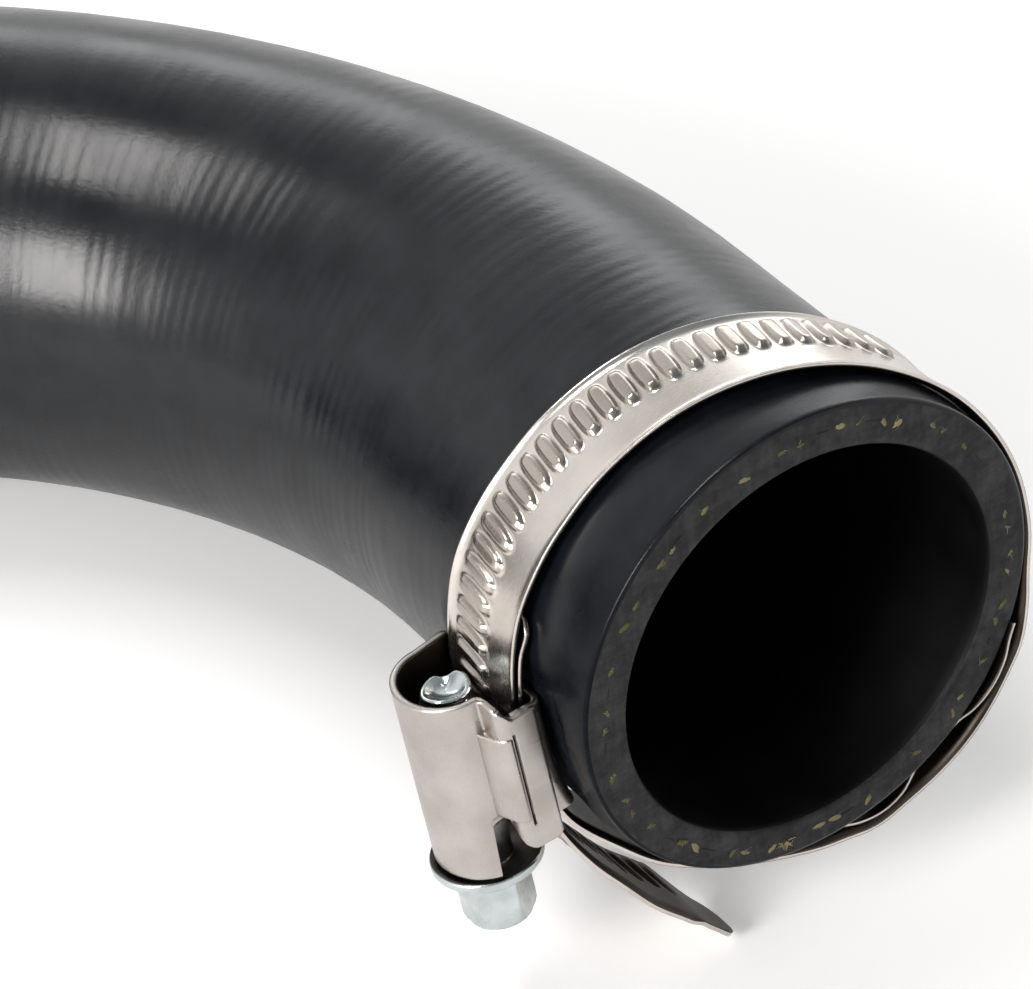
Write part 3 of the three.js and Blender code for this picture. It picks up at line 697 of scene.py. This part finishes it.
tube_angle = np.linspace(-math.pi / 2, math.pi / 2, 61)
tube_line = np.stack([SCREW_RADIAL + TUBE_RADIUS * np.cos(tube_angle),
                      SCREW_ACROSS + TUBE_DEPTH * np.sin(tube_angle)], -1)
slot_edges = [VALLEY - 0.47, VALLEY - 0.45, VALLEY - 0.1, VALLEY - 0.08]
flange_line = np.concatenate([
    [(SADDLE_LEVEL + 1.1, FLANGE_LEVEL), (SADDLE_LEVEL + 1.2, FLANGE_LEVEL)],
    even_line((SADDLE_LEVEL + 1.5, FLANGE_LEVEL), (VALLEY - 0.6, FLANGE_LEVEL)),
    [(x, FLANGE_LEVEL) for x in slot_edges],
])
housing_line = without_repeats(np.concatenate([
    flange_line,
    bend_line((VALLEY, FLANGE_LEVEL), (VALLEY + 1, FLANGE_LEVEL), (VALLEY + 0.9, FLANGE_LEVEL + 0.8),
              (VALLEY + 0.95, FLANGE_LEVEL + 2.2), steps=24),
    bend_line((VALLEY + 0.95, FLANGE_LEVEL + 2.2), (VALLEY + 1, TUBE_FRONT), (VALLEY + 1.7, TUBE_FRONT)),
    even_line((VALLEY + 1.7, TUBE_FRONT), (SCREW_RADIAL, TUBE_FRONT), 0.15),
    tube_line,
    even_line((SCREW_RADIAL, SCREW_ACROSS + TUBE_DEPTH), (SCREW_RADIAL - 3.6, BACK_LEVEL)),
    even_line((SCREW_RADIAL - 3.6, BACK_LEVEL), (SADDLE_LEVEL + 1.8, BACK_LEVEL)),
    bend_line((SADDLE_LEVEL + 1.8, BACK_LEVEL), (SADDLE_LEVEL, BACK_LEVEL), (SADDLE_LEVEL, BACK_LEVEL - 1.8)),
    even_line((SADDLE_LEVEL, BACK_LEVEL - 1.8), (SADDLE_LEVEL, FOLD_LEVEL + 1.2), 0.9),
    bend_line((SADDLE_LEVEL, FOLD_LEVEL + 1.2), (SADDLE_LEVEL, FOLD_LEVEL), (SADDLE_LEVEL + 1.2, FOLD_LEVEL)),
    even_line((SADDLE_LEVEL + 1.2, FOLD_LEVEL), (VALLEY - 1.0, FOLD_LEVEL)),
    [(VALLEY - 0.9, FOLD_LEVEL)],
]))
print("section line of", len(housing_line), "points")


# %% The housing's two faces
def line_normals(line):
    along = np.gradient(line, axis=0)
    along /= np.linalg.norm(along, axis=1, keepdims=True)
    return np.stack([-along[:, 1], along[:, 0]], -1)


def housing_ends(line):
    """Lower and upper end of every point of the section, with the notch that leaves a hook under the tube."""
    out, across = line.T
    flange = across < FLANGE_LEVEL + 0.3
    tube = smoothstep(out, VALLEY - 0.6, SCREW_RADIAL - 0.5)
    back = np.where(across < BAND_WIDTH / 2, 0, smoothstep(out, SADDLE_INNER + 0.8, SADDLE_INNER + 2.5))
    low = np.where(flange, FLANGE_ENDS[0], SADDLE_ENDS[0])
    high = np.where(flange, FLANGE_ENDS[1], SADDLE_ENDS[1])
    high = high + (TUBE_TOP - high) * np.maximum(tube, back)
    front = across < SCREW_ACROSS - 1
    low = low + (TUBE_BOTTOM - low) * np.where(front, out > NOTCH_END, tube)
    along_line = np.concatenate([[0], np.cumsum(np.linalg.norm(np.diff(line, axis=0), axis=1))])
    at_valley = np.interp(VALLEY, out[:40], along_line[:40])
    hook_from, hook_to = at_valley - 0.3, along_line[np.argmax(front & (out > NOTCH_END))]
    rising = np.clip((along_line - hook_from) / (0.62 * (hook_to - hook_from)), 0, 1)
    falling = np.clip((hook_to - along_line) / (0.3 * (hook_to - hook_from)), 0, 1)
    hook = FLANGE_ENDS[0] + (HOOK_TOP - FLANGE_ENDS[0]) * smoothstep(rising, 0, 1)
    hook = np.where(falling < 1, NOTCH_TOP + (HOOK_TOP - NOTCH_TOP) * np.sqrt(1 - (1 - falling) ** 2), hook)
    low = np.where(front & (along_line > hook_from) & (out <= NOTCH_END), hook, low)
    corner = np.clip(1 - (out - SADDLE_LEVEL - 1.1) / 1.0, 0, 1)
    low = np.where(flange, low + 0.9 * (1 - np.sqrt(1 - corner**2)), low)
    return low, high


def groove(out, across, along):
    """Depth of the slot pressed through beside the lug, cut into the outer face of the flange."""
    beside = (out > VALLEY - 0.46) & (out < VALLEY - 0.09)
    on_lug = (along > LUG_ENDS[0] - 0.7) & (along < LUG_ENDS[1] + 0.3)
    return GROOVE_DEPTH * ((across < FLANGE_LEVEL + 0.5) & beside & on_lug)


def housing_faces(line):
    low, high = housing_ends(line)
    edge = np.array([0, 0.1, 0.3, 0.7])
    fixed = np.array([LUG_ENDS[0] - 0.72, LUG_ENDS[0] - 0.68, LUG_ENDS[0] - 0.02, LUG_ENDS[0] + 0.02,
                      LUG_ENDS[1] + 0.28, LUG_ENDS[1] + 0.32])
    even = np.linspace(0, 1, 26)[1:-1]
    rows_low = low[:, None] + edge
    rows_high = high[:, None] - edge[::-1]
    middle = rows_low[:, -1:] + (rows_high[:, :1] - rows_low[:, -1:]) * even
    reachable = np.clip(fixed, rows_low[:, -1:], rows_high[:, :1])
    along = np.sort(np.concatenate([rows_low, middle, reachable, rows_high], 1), 1)
    normals = line_normals(line)
    out, across = line[:, :1], line[:, 1:]
    flange = across < FLANGE_LEVEL + 0.3
    sag_share = np.where(flange, 0, 1 - smoothstep(out, SADDLE_INNER + 1, VALLEY - 0.6))

    def face(offset):
        reach_out = out + normals[:, :1] * offset
        reach_across = across + normals[:, 1:] * offset + 0 * along
        return from_housing(reach_out - sag_share * housing_sag(reach_across, along), reach_across, along)

    return face(-(SHEET / 2 - groove(out, across, along))), face(SHEET / 2 + 0 * along)


LUG_LINE = np.array([(0.05, 0.2), (0.35, -0.15), (1.1, 0.65), (2.2, 3.6)]) + [VALLEY, FLANGE_LEVEL]


def lug_faces():
    """The stamped tongue that stands out of the flange and holds the fold: a bent plate with square ends."""
    line = np.concatenate([bend_line(LUG_LINE[0], LUG_LINE[0] * 0.4 + LUG_LINE[1] * 0.6, LUG_LINE[1], steps=4),
                           bend_line(LUG_LINE[1], LUG_LINE[1] + [0.3, 0.0], LUG_LINE[2], steps=8)[1:],
                           even_line(LUG_LINE[2], LUG_LINE[3])[1:]])
    normals = line_normals(line)
    along = strip_columns(LUG_ENDS[1] - LUG_ENDS[0], [0, 0.1, 0.3], 1.0) + LUG_ENDS[0]

    def face(offset):
        moved = line + normals * offset
        return from_housing(moved[:, :1] + 0 * along, moved[:, 1:] + 0 * along, along + 0 * moved[:, :1])

    return face(-SHEET / 2), face(SHEET / 2)


def painted_shade_faces(count):
    """1 for the second finish, a darker steel as painted shade, on the sheet's inner face and on the cells that
    the groove cuts.
    """
    lines = len(housing_line)
    rows_along = len(folded_points) // (2 * lines)
    face_cells = (lines - 1) * (rows_along - 1)
    cell_points = housing_local[: lines * rows_along].reshape(lines, rows_along, 3)
    middle = 0.5 * (cell_points[:-1, :-1] + cell_points[1:, 1:])
    in_groove = groove(-middle[..., 0], middle[..., 1], middle[..., 2]) > 0
    painted_shade = np.zeros(count, dtype=np.int32)
    painted_shade[:face_cells] = in_groove.ravel()
    painted_shade[face_cells: 2 * face_cells] = 1
    return painted_shade


folded_points, folded_quads = sheet_parts(*rounded_edges(*housing_faces(housing_line)))
lug_points, lug_quads = sheet_parts(*rounded_edges(*lug_faces()), start=len(folded_points))
housing_points = np.concatenate([folded_points, lug_points])
housing_local = (housing_points - HOUSING_ORIGIN) @ HOUSING_MATRIX
housing = make_piece("folded_housing", housing_points, np.concatenate([folded_quads, lug_quads]),
                     uv=housing_local[:, [2, 1]] / 10)
# The inner face and the groove take the darker steel, which is painted shade
housing.data.polygons.foreach_set("material_index", painted_shade_faces(len(housing.data.polygons)))
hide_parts("clamp_housing")
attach(housing, "hose_with_clamp")

# %% [markdown]
# The screw is cold-headed and rolled: a hexagon with a turned chamfer, a broad collar, and a worm thread whose
# end is peened over so that it cannot fall out. One radius that depends on the angle and on the place along
# the screw gives all of it.

# %% The screw
HEX_FLATS = 7.0
HEX_TURN = math.radians(6)
COLLAR_TOP = TUBE_BOTTOM - 0.5
COLLAR_BOTTOM = COLLAR_TOP - 1.9
HEX_BOTTOM = COLLAR_BOTTOM - 6.6
THREAD_BOTTOM = NOTCH_TOP - 1.5
TAIL_TOP = 3.0
PEEN_NOTCH = math.radians(60)
SCREW_SIDES = 120


def hexagon_radius(angle):
    """Distance to the sides of a hexagon: (flats / 2) / cos(angle from the middle of the nearest side)."""
    corner = -math.pi / 2 + HEX_TURN
    from_side = np.mod(angle - corner, math.pi / 3) - math.pi / 6
    return np.minimum(HEX_FLATS / 2 / np.cos(from_side), HEX_FLATS / math.sqrt(3) - 0.06)


def worm_radius(angle, along):
    """Root + depth * smoothstep of a cosine whose phase is along / pitch - angle / (2 pi)."""
    wave = 0.5 + 0.5 * np.cos(2 * math.pi * (along / RIDGE_PITCH - angle / (2 * math.pi)))
    return THREAD_RADIUS - 0.7 + 0.7 * smoothstep(wave, 0.15, 0.75)


def rows_of(kind, base, *pairs):
    """Rows of one kind: each pair is a radius and a step along the screw from the base."""
    return [(radius, base + step, kind) for radius, step in pairs]


def screw_rows():
    """Rows from the hexagon's end to the peened tail: a radius, a place along the screw, and what shapes it."""
    hexagon = np.linspace(HEX_BOTTOM + 1.3, COLLAR_BOTTOM - 0.25, 8)
    shank = np.linspace(COLLAR_TOP, THREAD_BOTTOM - 0.05, 6)
    return [
        *rows_of("round", HEX_BOTTOM, (0.0, 0.35), (1.6, 0.3), (2.0, 0.06), (2.3, 0), (3.05, 0)),
        *rows_of("hex", HEX_BOTTOM, (3.2, 0.05), (3.5, 0.22), (3.75, 0.45), (3.95, 0.8)),
        *rows_of("hex", 0, *((4.2, place) for place in hexagon)),
        *rows_of("fillet", COLLAR_BOTTOM, (4.15, -0.08)),
        *rows_of("round", COLLAR_BOTTOM, (4.3, 0), (4.75, 0.12), (5.3, 0.45), (5.8, 0.72), (6.02, 0.95),
                 (6.1, 1.15)),
        *rows_of("round", COLLAR_TOP, (6.1, -0.25), (6.06, -0.1), (5.95, 0), (5.45, 0), (5.3, -0.06),
                 (4.95, -0.45), (4.8, -0.5), (2.9, -0.5), (2.8, -0.4)),
        *rows_of("round", 0, *((2.8, place) for place in shank)),
        *rows_of("worm", 0, *((0.0, place) for place in np.linspace(THREAD_BOTTOM, 1.0, 96))),
        *rows_of("round", 0, (2.0, 1.05), (2.0, 1.9)),
        *rows_of("tail", 0, (2.4, 2.1), (2.62, 2.3), (2.7, 2.5), (2.66, 2.7), (2.5, 2.84), (2.3, 2.86),
                 (2.1, 2.78), (1.8, 2.58), (1.4, 2.4), (0.9, 2.28), (0.45, 2.24), (0.0, 2.22)),
    ]


def screw_grid():
    angle = np.arange(SCREW_SIDES) * 2 * math.pi / SCREW_SIDES + HEX_TURN
    radii, places = [], []
    for radius, along, kind in screw_rows():
        r, z = np.full(SCREW_SIDES, radius), np.full(SCREW_SIDES, along)
        if kind in ("hex", "fillet"):
            r = np.minimum(hexagon_radius(angle) + (0.12 if kind == "fillet" else 0), radius)
        elif kind == "worm":
            r = worm_radius(angle, along)
        elif kind == "tail" and radius > 0:
            r = radius * (1 + 0.03 * np.sin(2 * angle + 1) + 0.012 * np.sin(5 * angle))
            z = along + (0.12 * np.sin(2 * angle + 0.5) + 0.05 * np.sin(3 * angle + 2)) * (radius / 2.5) ** 2
            struck = 1 - smoothstep(angle_from(PEEN_NOTCH, angle), 0.1, 0.5)
            r = r * (1 - 0.13 * struck)
            z = z - 0.25 * struck * (radius / 2.5)
        radii.append(r)
        places.append(z)
    r, z = np.array(radii), np.minimum(np.array(places), TAIL_TOP)
    return SCREW_RADIAL + -r * np.cos(angle), SCREW_ACROSS + r * np.sin(angle), z


screw_out, screw_across, screw_along = screw_grid()
screw_points = from_housing(screw_out, screw_across, screw_along).reshape(-1, 3)
screw = make_piece("hexagon_screw", screw_points, grid_quads(*screw_out.shape, wrap=True))
# The collar's top, the shank and the worm take a dark zinc: painted shade under the tube and the housing
row_kinds = [kind for _, _, kind in screw_rows()]
collar_inner = next(k for k, row in enumerate(screw_rows()) if row[0] == 5.3 and row[1] > COLLAR_BOTTOM + 1)
worm_end = len(row_kinds) - row_kinds[::-1].index("worm")
painted_shade_rows = np.zeros(len(row_kinds) - 1, dtype=np.int32)
painted_shade_rows[collar_inner - 2: worm_end] = 1
screw.data.polygons.foreach_set("material_index", np.repeat(painted_shade_rows, SCREW_SIDES))
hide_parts("clamp_screw")
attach(screw, "screw")

# %% [markdown]
# The looks are procedural: no picture goes into them, and every pattern sits on the piece itself. Rubber is a
# near-black dielectric with soft, slightly patchy gloss; the band is stainless steel that was rolled along its
# length; the screw is bright zinc with its cool cast.

# %% Material helpers
# The surroundings have nodes as a material has, so most of these serve them too
def set_value(material, name, value):
    material.node_tree.nodes["Principled BSDF"].inputs[name].default_value = value


def link(material, output, socket):
    material.node_tree.links.new(output, socket)


def new_material(name, colour, roughness, metallic=0.0):
    material = bpy.data.materials.new(name)
    material.use_nodes = True
    set_value(material, "Base Color", (*colour, 1))
    set_value(material, "Roughness", roughness)
    set_value(material, "Metallic", metallic)
    return material


def add_node(material, kind, **settings):
    node = material.node_tree.nodes.new(kind)
    for key, value in settings.items():
        if hasattr(node, key):
            setattr(node, key, value)
        else:
            node.inputs[key.replace("_", " ")].default_value = value
    return node


def pattern(material, scale, stretch=(1, 1, 1), source="Object", detail=3.0, uneven=0.5):
    """Noise on the piece's own coordinates, drawn out along one direction where stretch says so."""
    place = add_node(material, "ShaderNodeTexCoord")
    mapping = add_node(material, "ShaderNodeMapping", Scale=stretch)
    noise = add_node(material, "ShaderNodeTexNoise", Scale=scale, Detail=detail, Roughness=uneven)
    link(material, place.outputs[source], mapping.inputs["Vector"])
    link(material, mapping.outputs["Vector"], noise.inputs["Vector"])
    return noise.outputs["Fac"]


def ramp_through(material, factor, *stops):
    """A ramp through stops, each a position with a grey or a colour."""
    ramp = add_node(material, "ShaderNodeValToRGB")
    elements = ramp.color_ramp.elements
    for at, _ in stops[1:-1]:
        elements.new(at)
    for element, (at, value) in zip(elements, stops):
        element.position = at
        element.color = (*value, 1) if isinstance(value, tuple) else (value, value, value, 1)
    link(material, factor, ramp.inputs["Fac"])
    return ramp.outputs["Color"]


def blend(material, factor, low, high, low_at=0.3, high_at=0.7):
    """A ramp from one value or colour to another, as the pattern goes from low_at to high_at."""
    return ramp_through(material, factor, (low_at, low), (high_at, high))


def mix_colours(material, factor, first, second, blend_type="MIX"):
    """Mixes two colours by a factor. Each of the three is another node's output or a plain value."""
    node = add_node(material, "ShaderNodeMix", data_type="RGBA", blend_type=blend_type)
    colours = [socket for socket in node.inputs if socket.type == "RGBA"]
    for socket, value in zip((node.inputs["Factor"], *colours), (factor, first, second)):
        if isinstance(value, bpy.types.NodeSocket):
            link(material, value, socket)
        else:
            socket.default_value = value
    return next(socket for socket in node.outputs if socket.type == "RGBA")


def combine(material, kind, operation, first, second):
    """A math or vector math node on two outputs of other nodes."""
    node = add_node(material, kind, operation=operation)
    link(material, first, node.inputs[0])
    link(material, second, node.inputs[1])
    return node.outputs[0]


def written_value(material, name):
    """The number that write_values put on each vertex under this name."""
    return add_node(material, "ShaderNodeAttribute", attribute_name=name).outputs["Fac"]


def set_input(material, name, output):
    link(material, output, material.node_tree.nodes["Principled BSDF"].inputs[name])


def add_bump(material, height, strength, distance):
    bump = add_node(material, "ShaderNodeBump", Strength=strength, Distance=distance)
    link(material, height, bump.inputs["Height"])
    set_input(material, "Normal", bump.outputs["Normal"])


# %% Rubber and yarn
skin = new_material("wrapped_rubber", (0.004, 0.0045, 0.0058), 0.24)
skin_colour = blend(skin, pattern(skin, 260), (0.0026, 0.0036, 0.0052), (0.007, 0.0088, 0.0115))
set_input(skin, "Base Color", skin_colour)
set_input(skin, "Roughness", blend(skin, pattern(skin, 90, detail=5.0), 0.2, 0.32))
add_bump(skin, pattern(skin, 1500, detail=4.0, uneven=0.65), 0.1, 0.0002)
# Painted shade: the vertex number turns the gloss down in front of the clamp and in the wedge below the saddle
set_input(skin, "Specular IOR Level", blend(skin, written_value(skin, "reflection_shade"), 0.38, 0.07, 0.0, 1.0))

cut = new_material("cut_rubber", (0.03, 0.03, 0.032), 0.55)
scratches = combine(cut, "ShaderNodeMath", "MULTIPLY",
                    pattern(cut, 520, (1, 1, 0.12), detail=6.0, uneven=0.75),
                    pattern(cut, 260, (0.5, 1, 1), detail=6.0, uneven=0.7))
set_input(cut, "Base Color", blend(cut, scratches, (0.003, 0.0032, 0.0038), (0.036, 0.0355, 0.0365), 0.2, 0.42))
set_input(cut, "Roughness", blend(cut, pattern(cut, 900), 0.45, 0.7))
set_value(cut, "Specular IOR Level", 0.3)
add_bump(cut, pattern(cut, 1100, (0.3, 1, 1), detail=5.0, uneven=0.7), 0.35, 0.0003)

# Painted shade: the bore's colour is darker and its gloss weaker than the outside's, for the shade inside the
# tube
inside = new_material("bore_rubber", (0.0014, 0.0014, 0.0017), 0.5)
set_value(inside, "Specular IOR Level", 0.16)
set_input(inside, "Roughness", blend(inside, pattern(inside, 200), 0.45, 0.6))

thread = new_material("aramid_yarn", (0.25, 0.2, 0.06), 0.8)
shade_uv = add_node(thread, "ShaderNodeTexCoord")
shade_split = add_node(thread, "ShaderNodeSeparateXYZ")
link(thread, shade_uv.outputs["UV"], shade_split.inputs["Vector"])
shade = shade_split.outputs["X"]
dark_end = blend(thread, shade, (0.003, 0.003, 0.003), (0.075, 0.07, 0.02), 0.02, 0.2)
bright_end = blend(thread, shade, (0.0, 0.0, 0.0), (0.42, 0.36, 0.2), 0.3, 1.0)
set_input(thread, "Base Color", combine(thread, "ShaderNodeVectorMath", "ADD", dark_end, bright_end))
add_bump(thread, pattern(thread, 6000), 0.3, 0.0001)


# %% Metals
def brushed(name, colour, dark, roughness, spread, streak=(1, 40, 1)):
    """Steel whose fine lines run along the strip: noise stretched forty to one on its own UV."""
    metal = new_material(name, colour, roughness, 1.0)
    lines = pattern(metal, 9, streak, source="UV", detail=6.0, uneven=0.6)
    set_input(metal, "Base Color", blend(metal, pattern(metal, 120, detail=4.0), dark, colour))
    set_input(metal, "Roughness", blend(metal, lines, roughness - spread, roughness + spread))
    add_bump(metal, lines, 0.05, 0.0001)
    return metal


band_steel = brushed("rolled_steel", (0.74, 0.69, 0.64), (0.58, 0.53, 0.48), 0.24, 0.07)
housing_steel = brushed("pressed_steel", (0.57, 0.535, 0.5), (0.41, 0.375, 0.345), 0.31, 0.07, (1, 8, 1))
spring_metal = brushed("spring_strip", (0.62, 0.58, 0.53), (0.45, 0.42, 0.38), 0.24, 0.06)
# Painted shade: this darker steel on the strips' inner faces and in the housing's groove stands in for the shade
# there
shaded_inner_steel = brushed("shaded_inner_steel", (0.085, 0.07, 0.058), (0.03, 0.025, 0.021), 0.36, 0.08)

# Painted shade on the ridges: their flanks are darkened most and their tops less, a little warm; the stops are
# heights from the flat band to the top
ridge_shade_stops = [(at, (value, value * (0.9 + 0.1 * value), value * (0.82 + 0.18 * value)))
        for at, value in ((0.0, 1.0), (0.22, 0.5), (0.7, 0.72), (1.0, 0.68))]
unshaded_colour = band_steel.node_tree.nodes["Principled BSDF"].inputs["Base Color"].links[0].from_socket
painted_shade = ramp_through(band_steel, written_value(band_steel, "pressed"), *ridge_shade_stops)
set_input(band_steel, "Base Color", mix_colours(band_steel, 1.0, unshaded_colour, painted_shade, "MULTIPLY"))

# Painted shade: a dark zinc for the parts of the screw that lie in the housing's shadow
shaded_worm_zinc = new_material("zinc_in_painted_shade", (0.12, 0.12, 0.115), 0.35, 1.0)
shaded_worm_colour = blend(shaded_worm_zinc, pattern(shaded_worm_zinc, 400), (0.05, 0.048, 0.045), (0.2, 0.2, 0.19))
set_input(shaded_worm_zinc, "Base Color", shaded_worm_colour)

zinc = new_material("bright_zinc", (0.72, 0.76, 0.77), 0.22, 1.0)
zinc_colour = blend(zinc, pattern(zinc, 350, detail=5.0), (0.46, 0.51, 0.52), (0.68, 0.73, 0.73))
set_input(zinc, "Base Color", zinc_colour)
set_input(zinc, "Roughness", blend(zinc, pattern(zinc, 500, detail=4.0), 0.14, 0.32))
add_bump(zinc, pattern(zinc, 900, detail=3.0), 0.08, 0.0002)

for piece, finishes in ((hose, (skin, cut, inside)), (yarn, (thread,)), (band, (band_steel, shaded_inner_steel)),
                        (spring, (spring_metal, shaded_inner_steel)), (housing, (housing_steel, shaded_inner_steel)),
                        (screw, (zinc, shaded_worm_zinc))):
    for finish in finishes:
        piece.data.materials.append(finish)
    used = np.empty(len(piece.data.polygons), dtype=np.int32)
    piece.data.polygons.foreach_get("material_index", used)
    print(piece.name, [m.name for m in piece.data.materials], np.bincount(used))

# %% [markdown]
# A photograph like this one is taken on a white table that runs out of sight, with a few soft panels. Black
# rubber shows almost only what it reflects, so the panels stand where the highlights call for them: a high one
# and a low one at the left, and a weak broad one low behind.

# %% Table and surroundings
TABLE_HALF = 3.0
TABLE_LIFT = 0.15
table_mesh = bpy.data.meshes.new("table")
table_corners = [(TABLE_HALF * x, TABLE_HALF * y, 0) for x, y in ((-1, -1), (1, -1), (1, 1), (-1, 1))]
table_mesh.from_pydata(table_corners, [], [(0, 1, 2, 3)])
table = link_object("table", table_mesh)
table_paint = new_material("table_white", (0.95, 0.95, 0.95), 0.9)
lift = add_node(table_paint, "ShaderNodeMath", operation="MULTIPLY")
lift.inputs[1].default_value = TABLE_LIFT
link(table_paint, add_node(table_paint, "ShaderNodeLightPath").outputs["Is Camera Ray"], lift.inputs[0])
set_input(table_paint, "Emission Strength", lift.outputs[0])
set_value(table_paint, "Emission Color", (1, 1, 1, 1))
table_mesh.materials.append(table_paint)

world = bpy.data.worlds.new("studio")
bpy.context.scene.world = world
world.use_nodes = True
WORLD_DIFFUSE = 0.55
direction = add_node(world, "ShaderNodeTexCoord")
split = add_node(world, "ShaderNodeSeparateXYZ")
link(world, direction.outputs["Generated"], split.inputs["Vector"])
sky_stops = [(at, (value * (0.8 + 0.2 * value), value * (0.93 + 0.07 * value), value))
             for at, value in ((0.42, 1.0), (0.8, 0.29))]
sky = ramp_through(world, split.outputs["Z"], *sky_stops)

# The ramp is for what is seen or reflected, and an even grey lights everything else
path = add_node(world, "ShaderNodeLightPath")
seen = combine(world, "ShaderNodeMath", "MAXIMUM", path.outputs["Is Camera Ray"], path.outputs["Is Glossy Ray"])
seen = combine(world, "ShaderNodeMath", "MAXIMUM", seen, path.outputs["Is Transmission Ray"])
even_grey = (WORLD_DIFFUSE, WORLD_DIFFUSE, WORLD_DIFFUSE, 1)
background = world.node_tree.nodes["Background"]
link(world, mix_colours(world, seen, even_grey, sky), background.inputs["Color"])
background.inputs["Strength"].default_value = 1.0


# %% Panels
PANEL_AIM = np.array([0.02, -0.01, 0.04])


def panel(name, azimuth, elevation, distance, width, height, watts, colour):
    """A soft panel on a sphere round the part, which faces the part."""
    azimuth, elevation = math.radians(azimuth), math.radians(elevation)
    away = np.array([math.cos(elevation) * math.cos(azimuth), math.cos(elevation) * math.sin(azimuth),
                     math.sin(elevation)])
    light = bpy.data.lights.new(name, "AREA")
    light.shape = "RECTANGLE"
    light.size = width
    light.size_y = height
    light.energy = watts
    light.color = colour
    side = np.cross((0, 0, 1), away)
    side /= np.linalg.norm(side)
    stand_at(link_object(name, light), side, np.cross(away, side), away, PANEL_AIM + distance * away)


panel("high_panel", 127, 63, 0.9, 0.44, 0.16, 2.9, (1.0, 0.97, 0.95))
panel("side_panel", -166, 28, 0.9, 0.26, 0.42, 6.5, (1.0, 0.97, 0.95))
panel("back_panel", 60, 16, 1.2, 1.2, 0.3, 2.9, (0.95, 1.0, 1.0))

# %% [markdown]
# The camera stands where the photograph's did: its place was worked out from the ellipse of the cut end, the
# parallel sides of the first leg and the curve of the bend, with the same long lens.

# %% Camera
CAMERA_PLACE = np.array([-240.5, -318.5, 290.7])
CAMERA_RIGHT = np.array([0.8406, -0.5416, 0.0])
CAMERA_FORWARD = np.array([0.8246 * 0.5416, 0.8246 * 0.8406, -0.5658])
CAMERA_LENS = 168.74


def photo_camera():
    forward = REST_TURN @ (CAMERA_FORWARD / np.linalg.norm(CAMERA_FORWARD))
    right = REST_TURN @ (CAMERA_RIGHT / np.linalg.norm(CAMERA_RIGHT))
    data = bpy.data.cameras.new("photo_camera")
    data.sensor_width = 36.0
    data.sensor_fit = "HORIZONTAL"
    data.lens = CAMERA_LENS
    data.clip_start = 0.01
    data.clip_end = 20.0
    camera = link_object("photo_camera", data)
    stand_at(camera, right, np.cross(right, forward), -forward, to_floor(CAMERA_PLACE))
    return camera


bpy.context.scene.camera = photo_camera()
bpy.context.scene.view_settings.view_transform = "Standard"
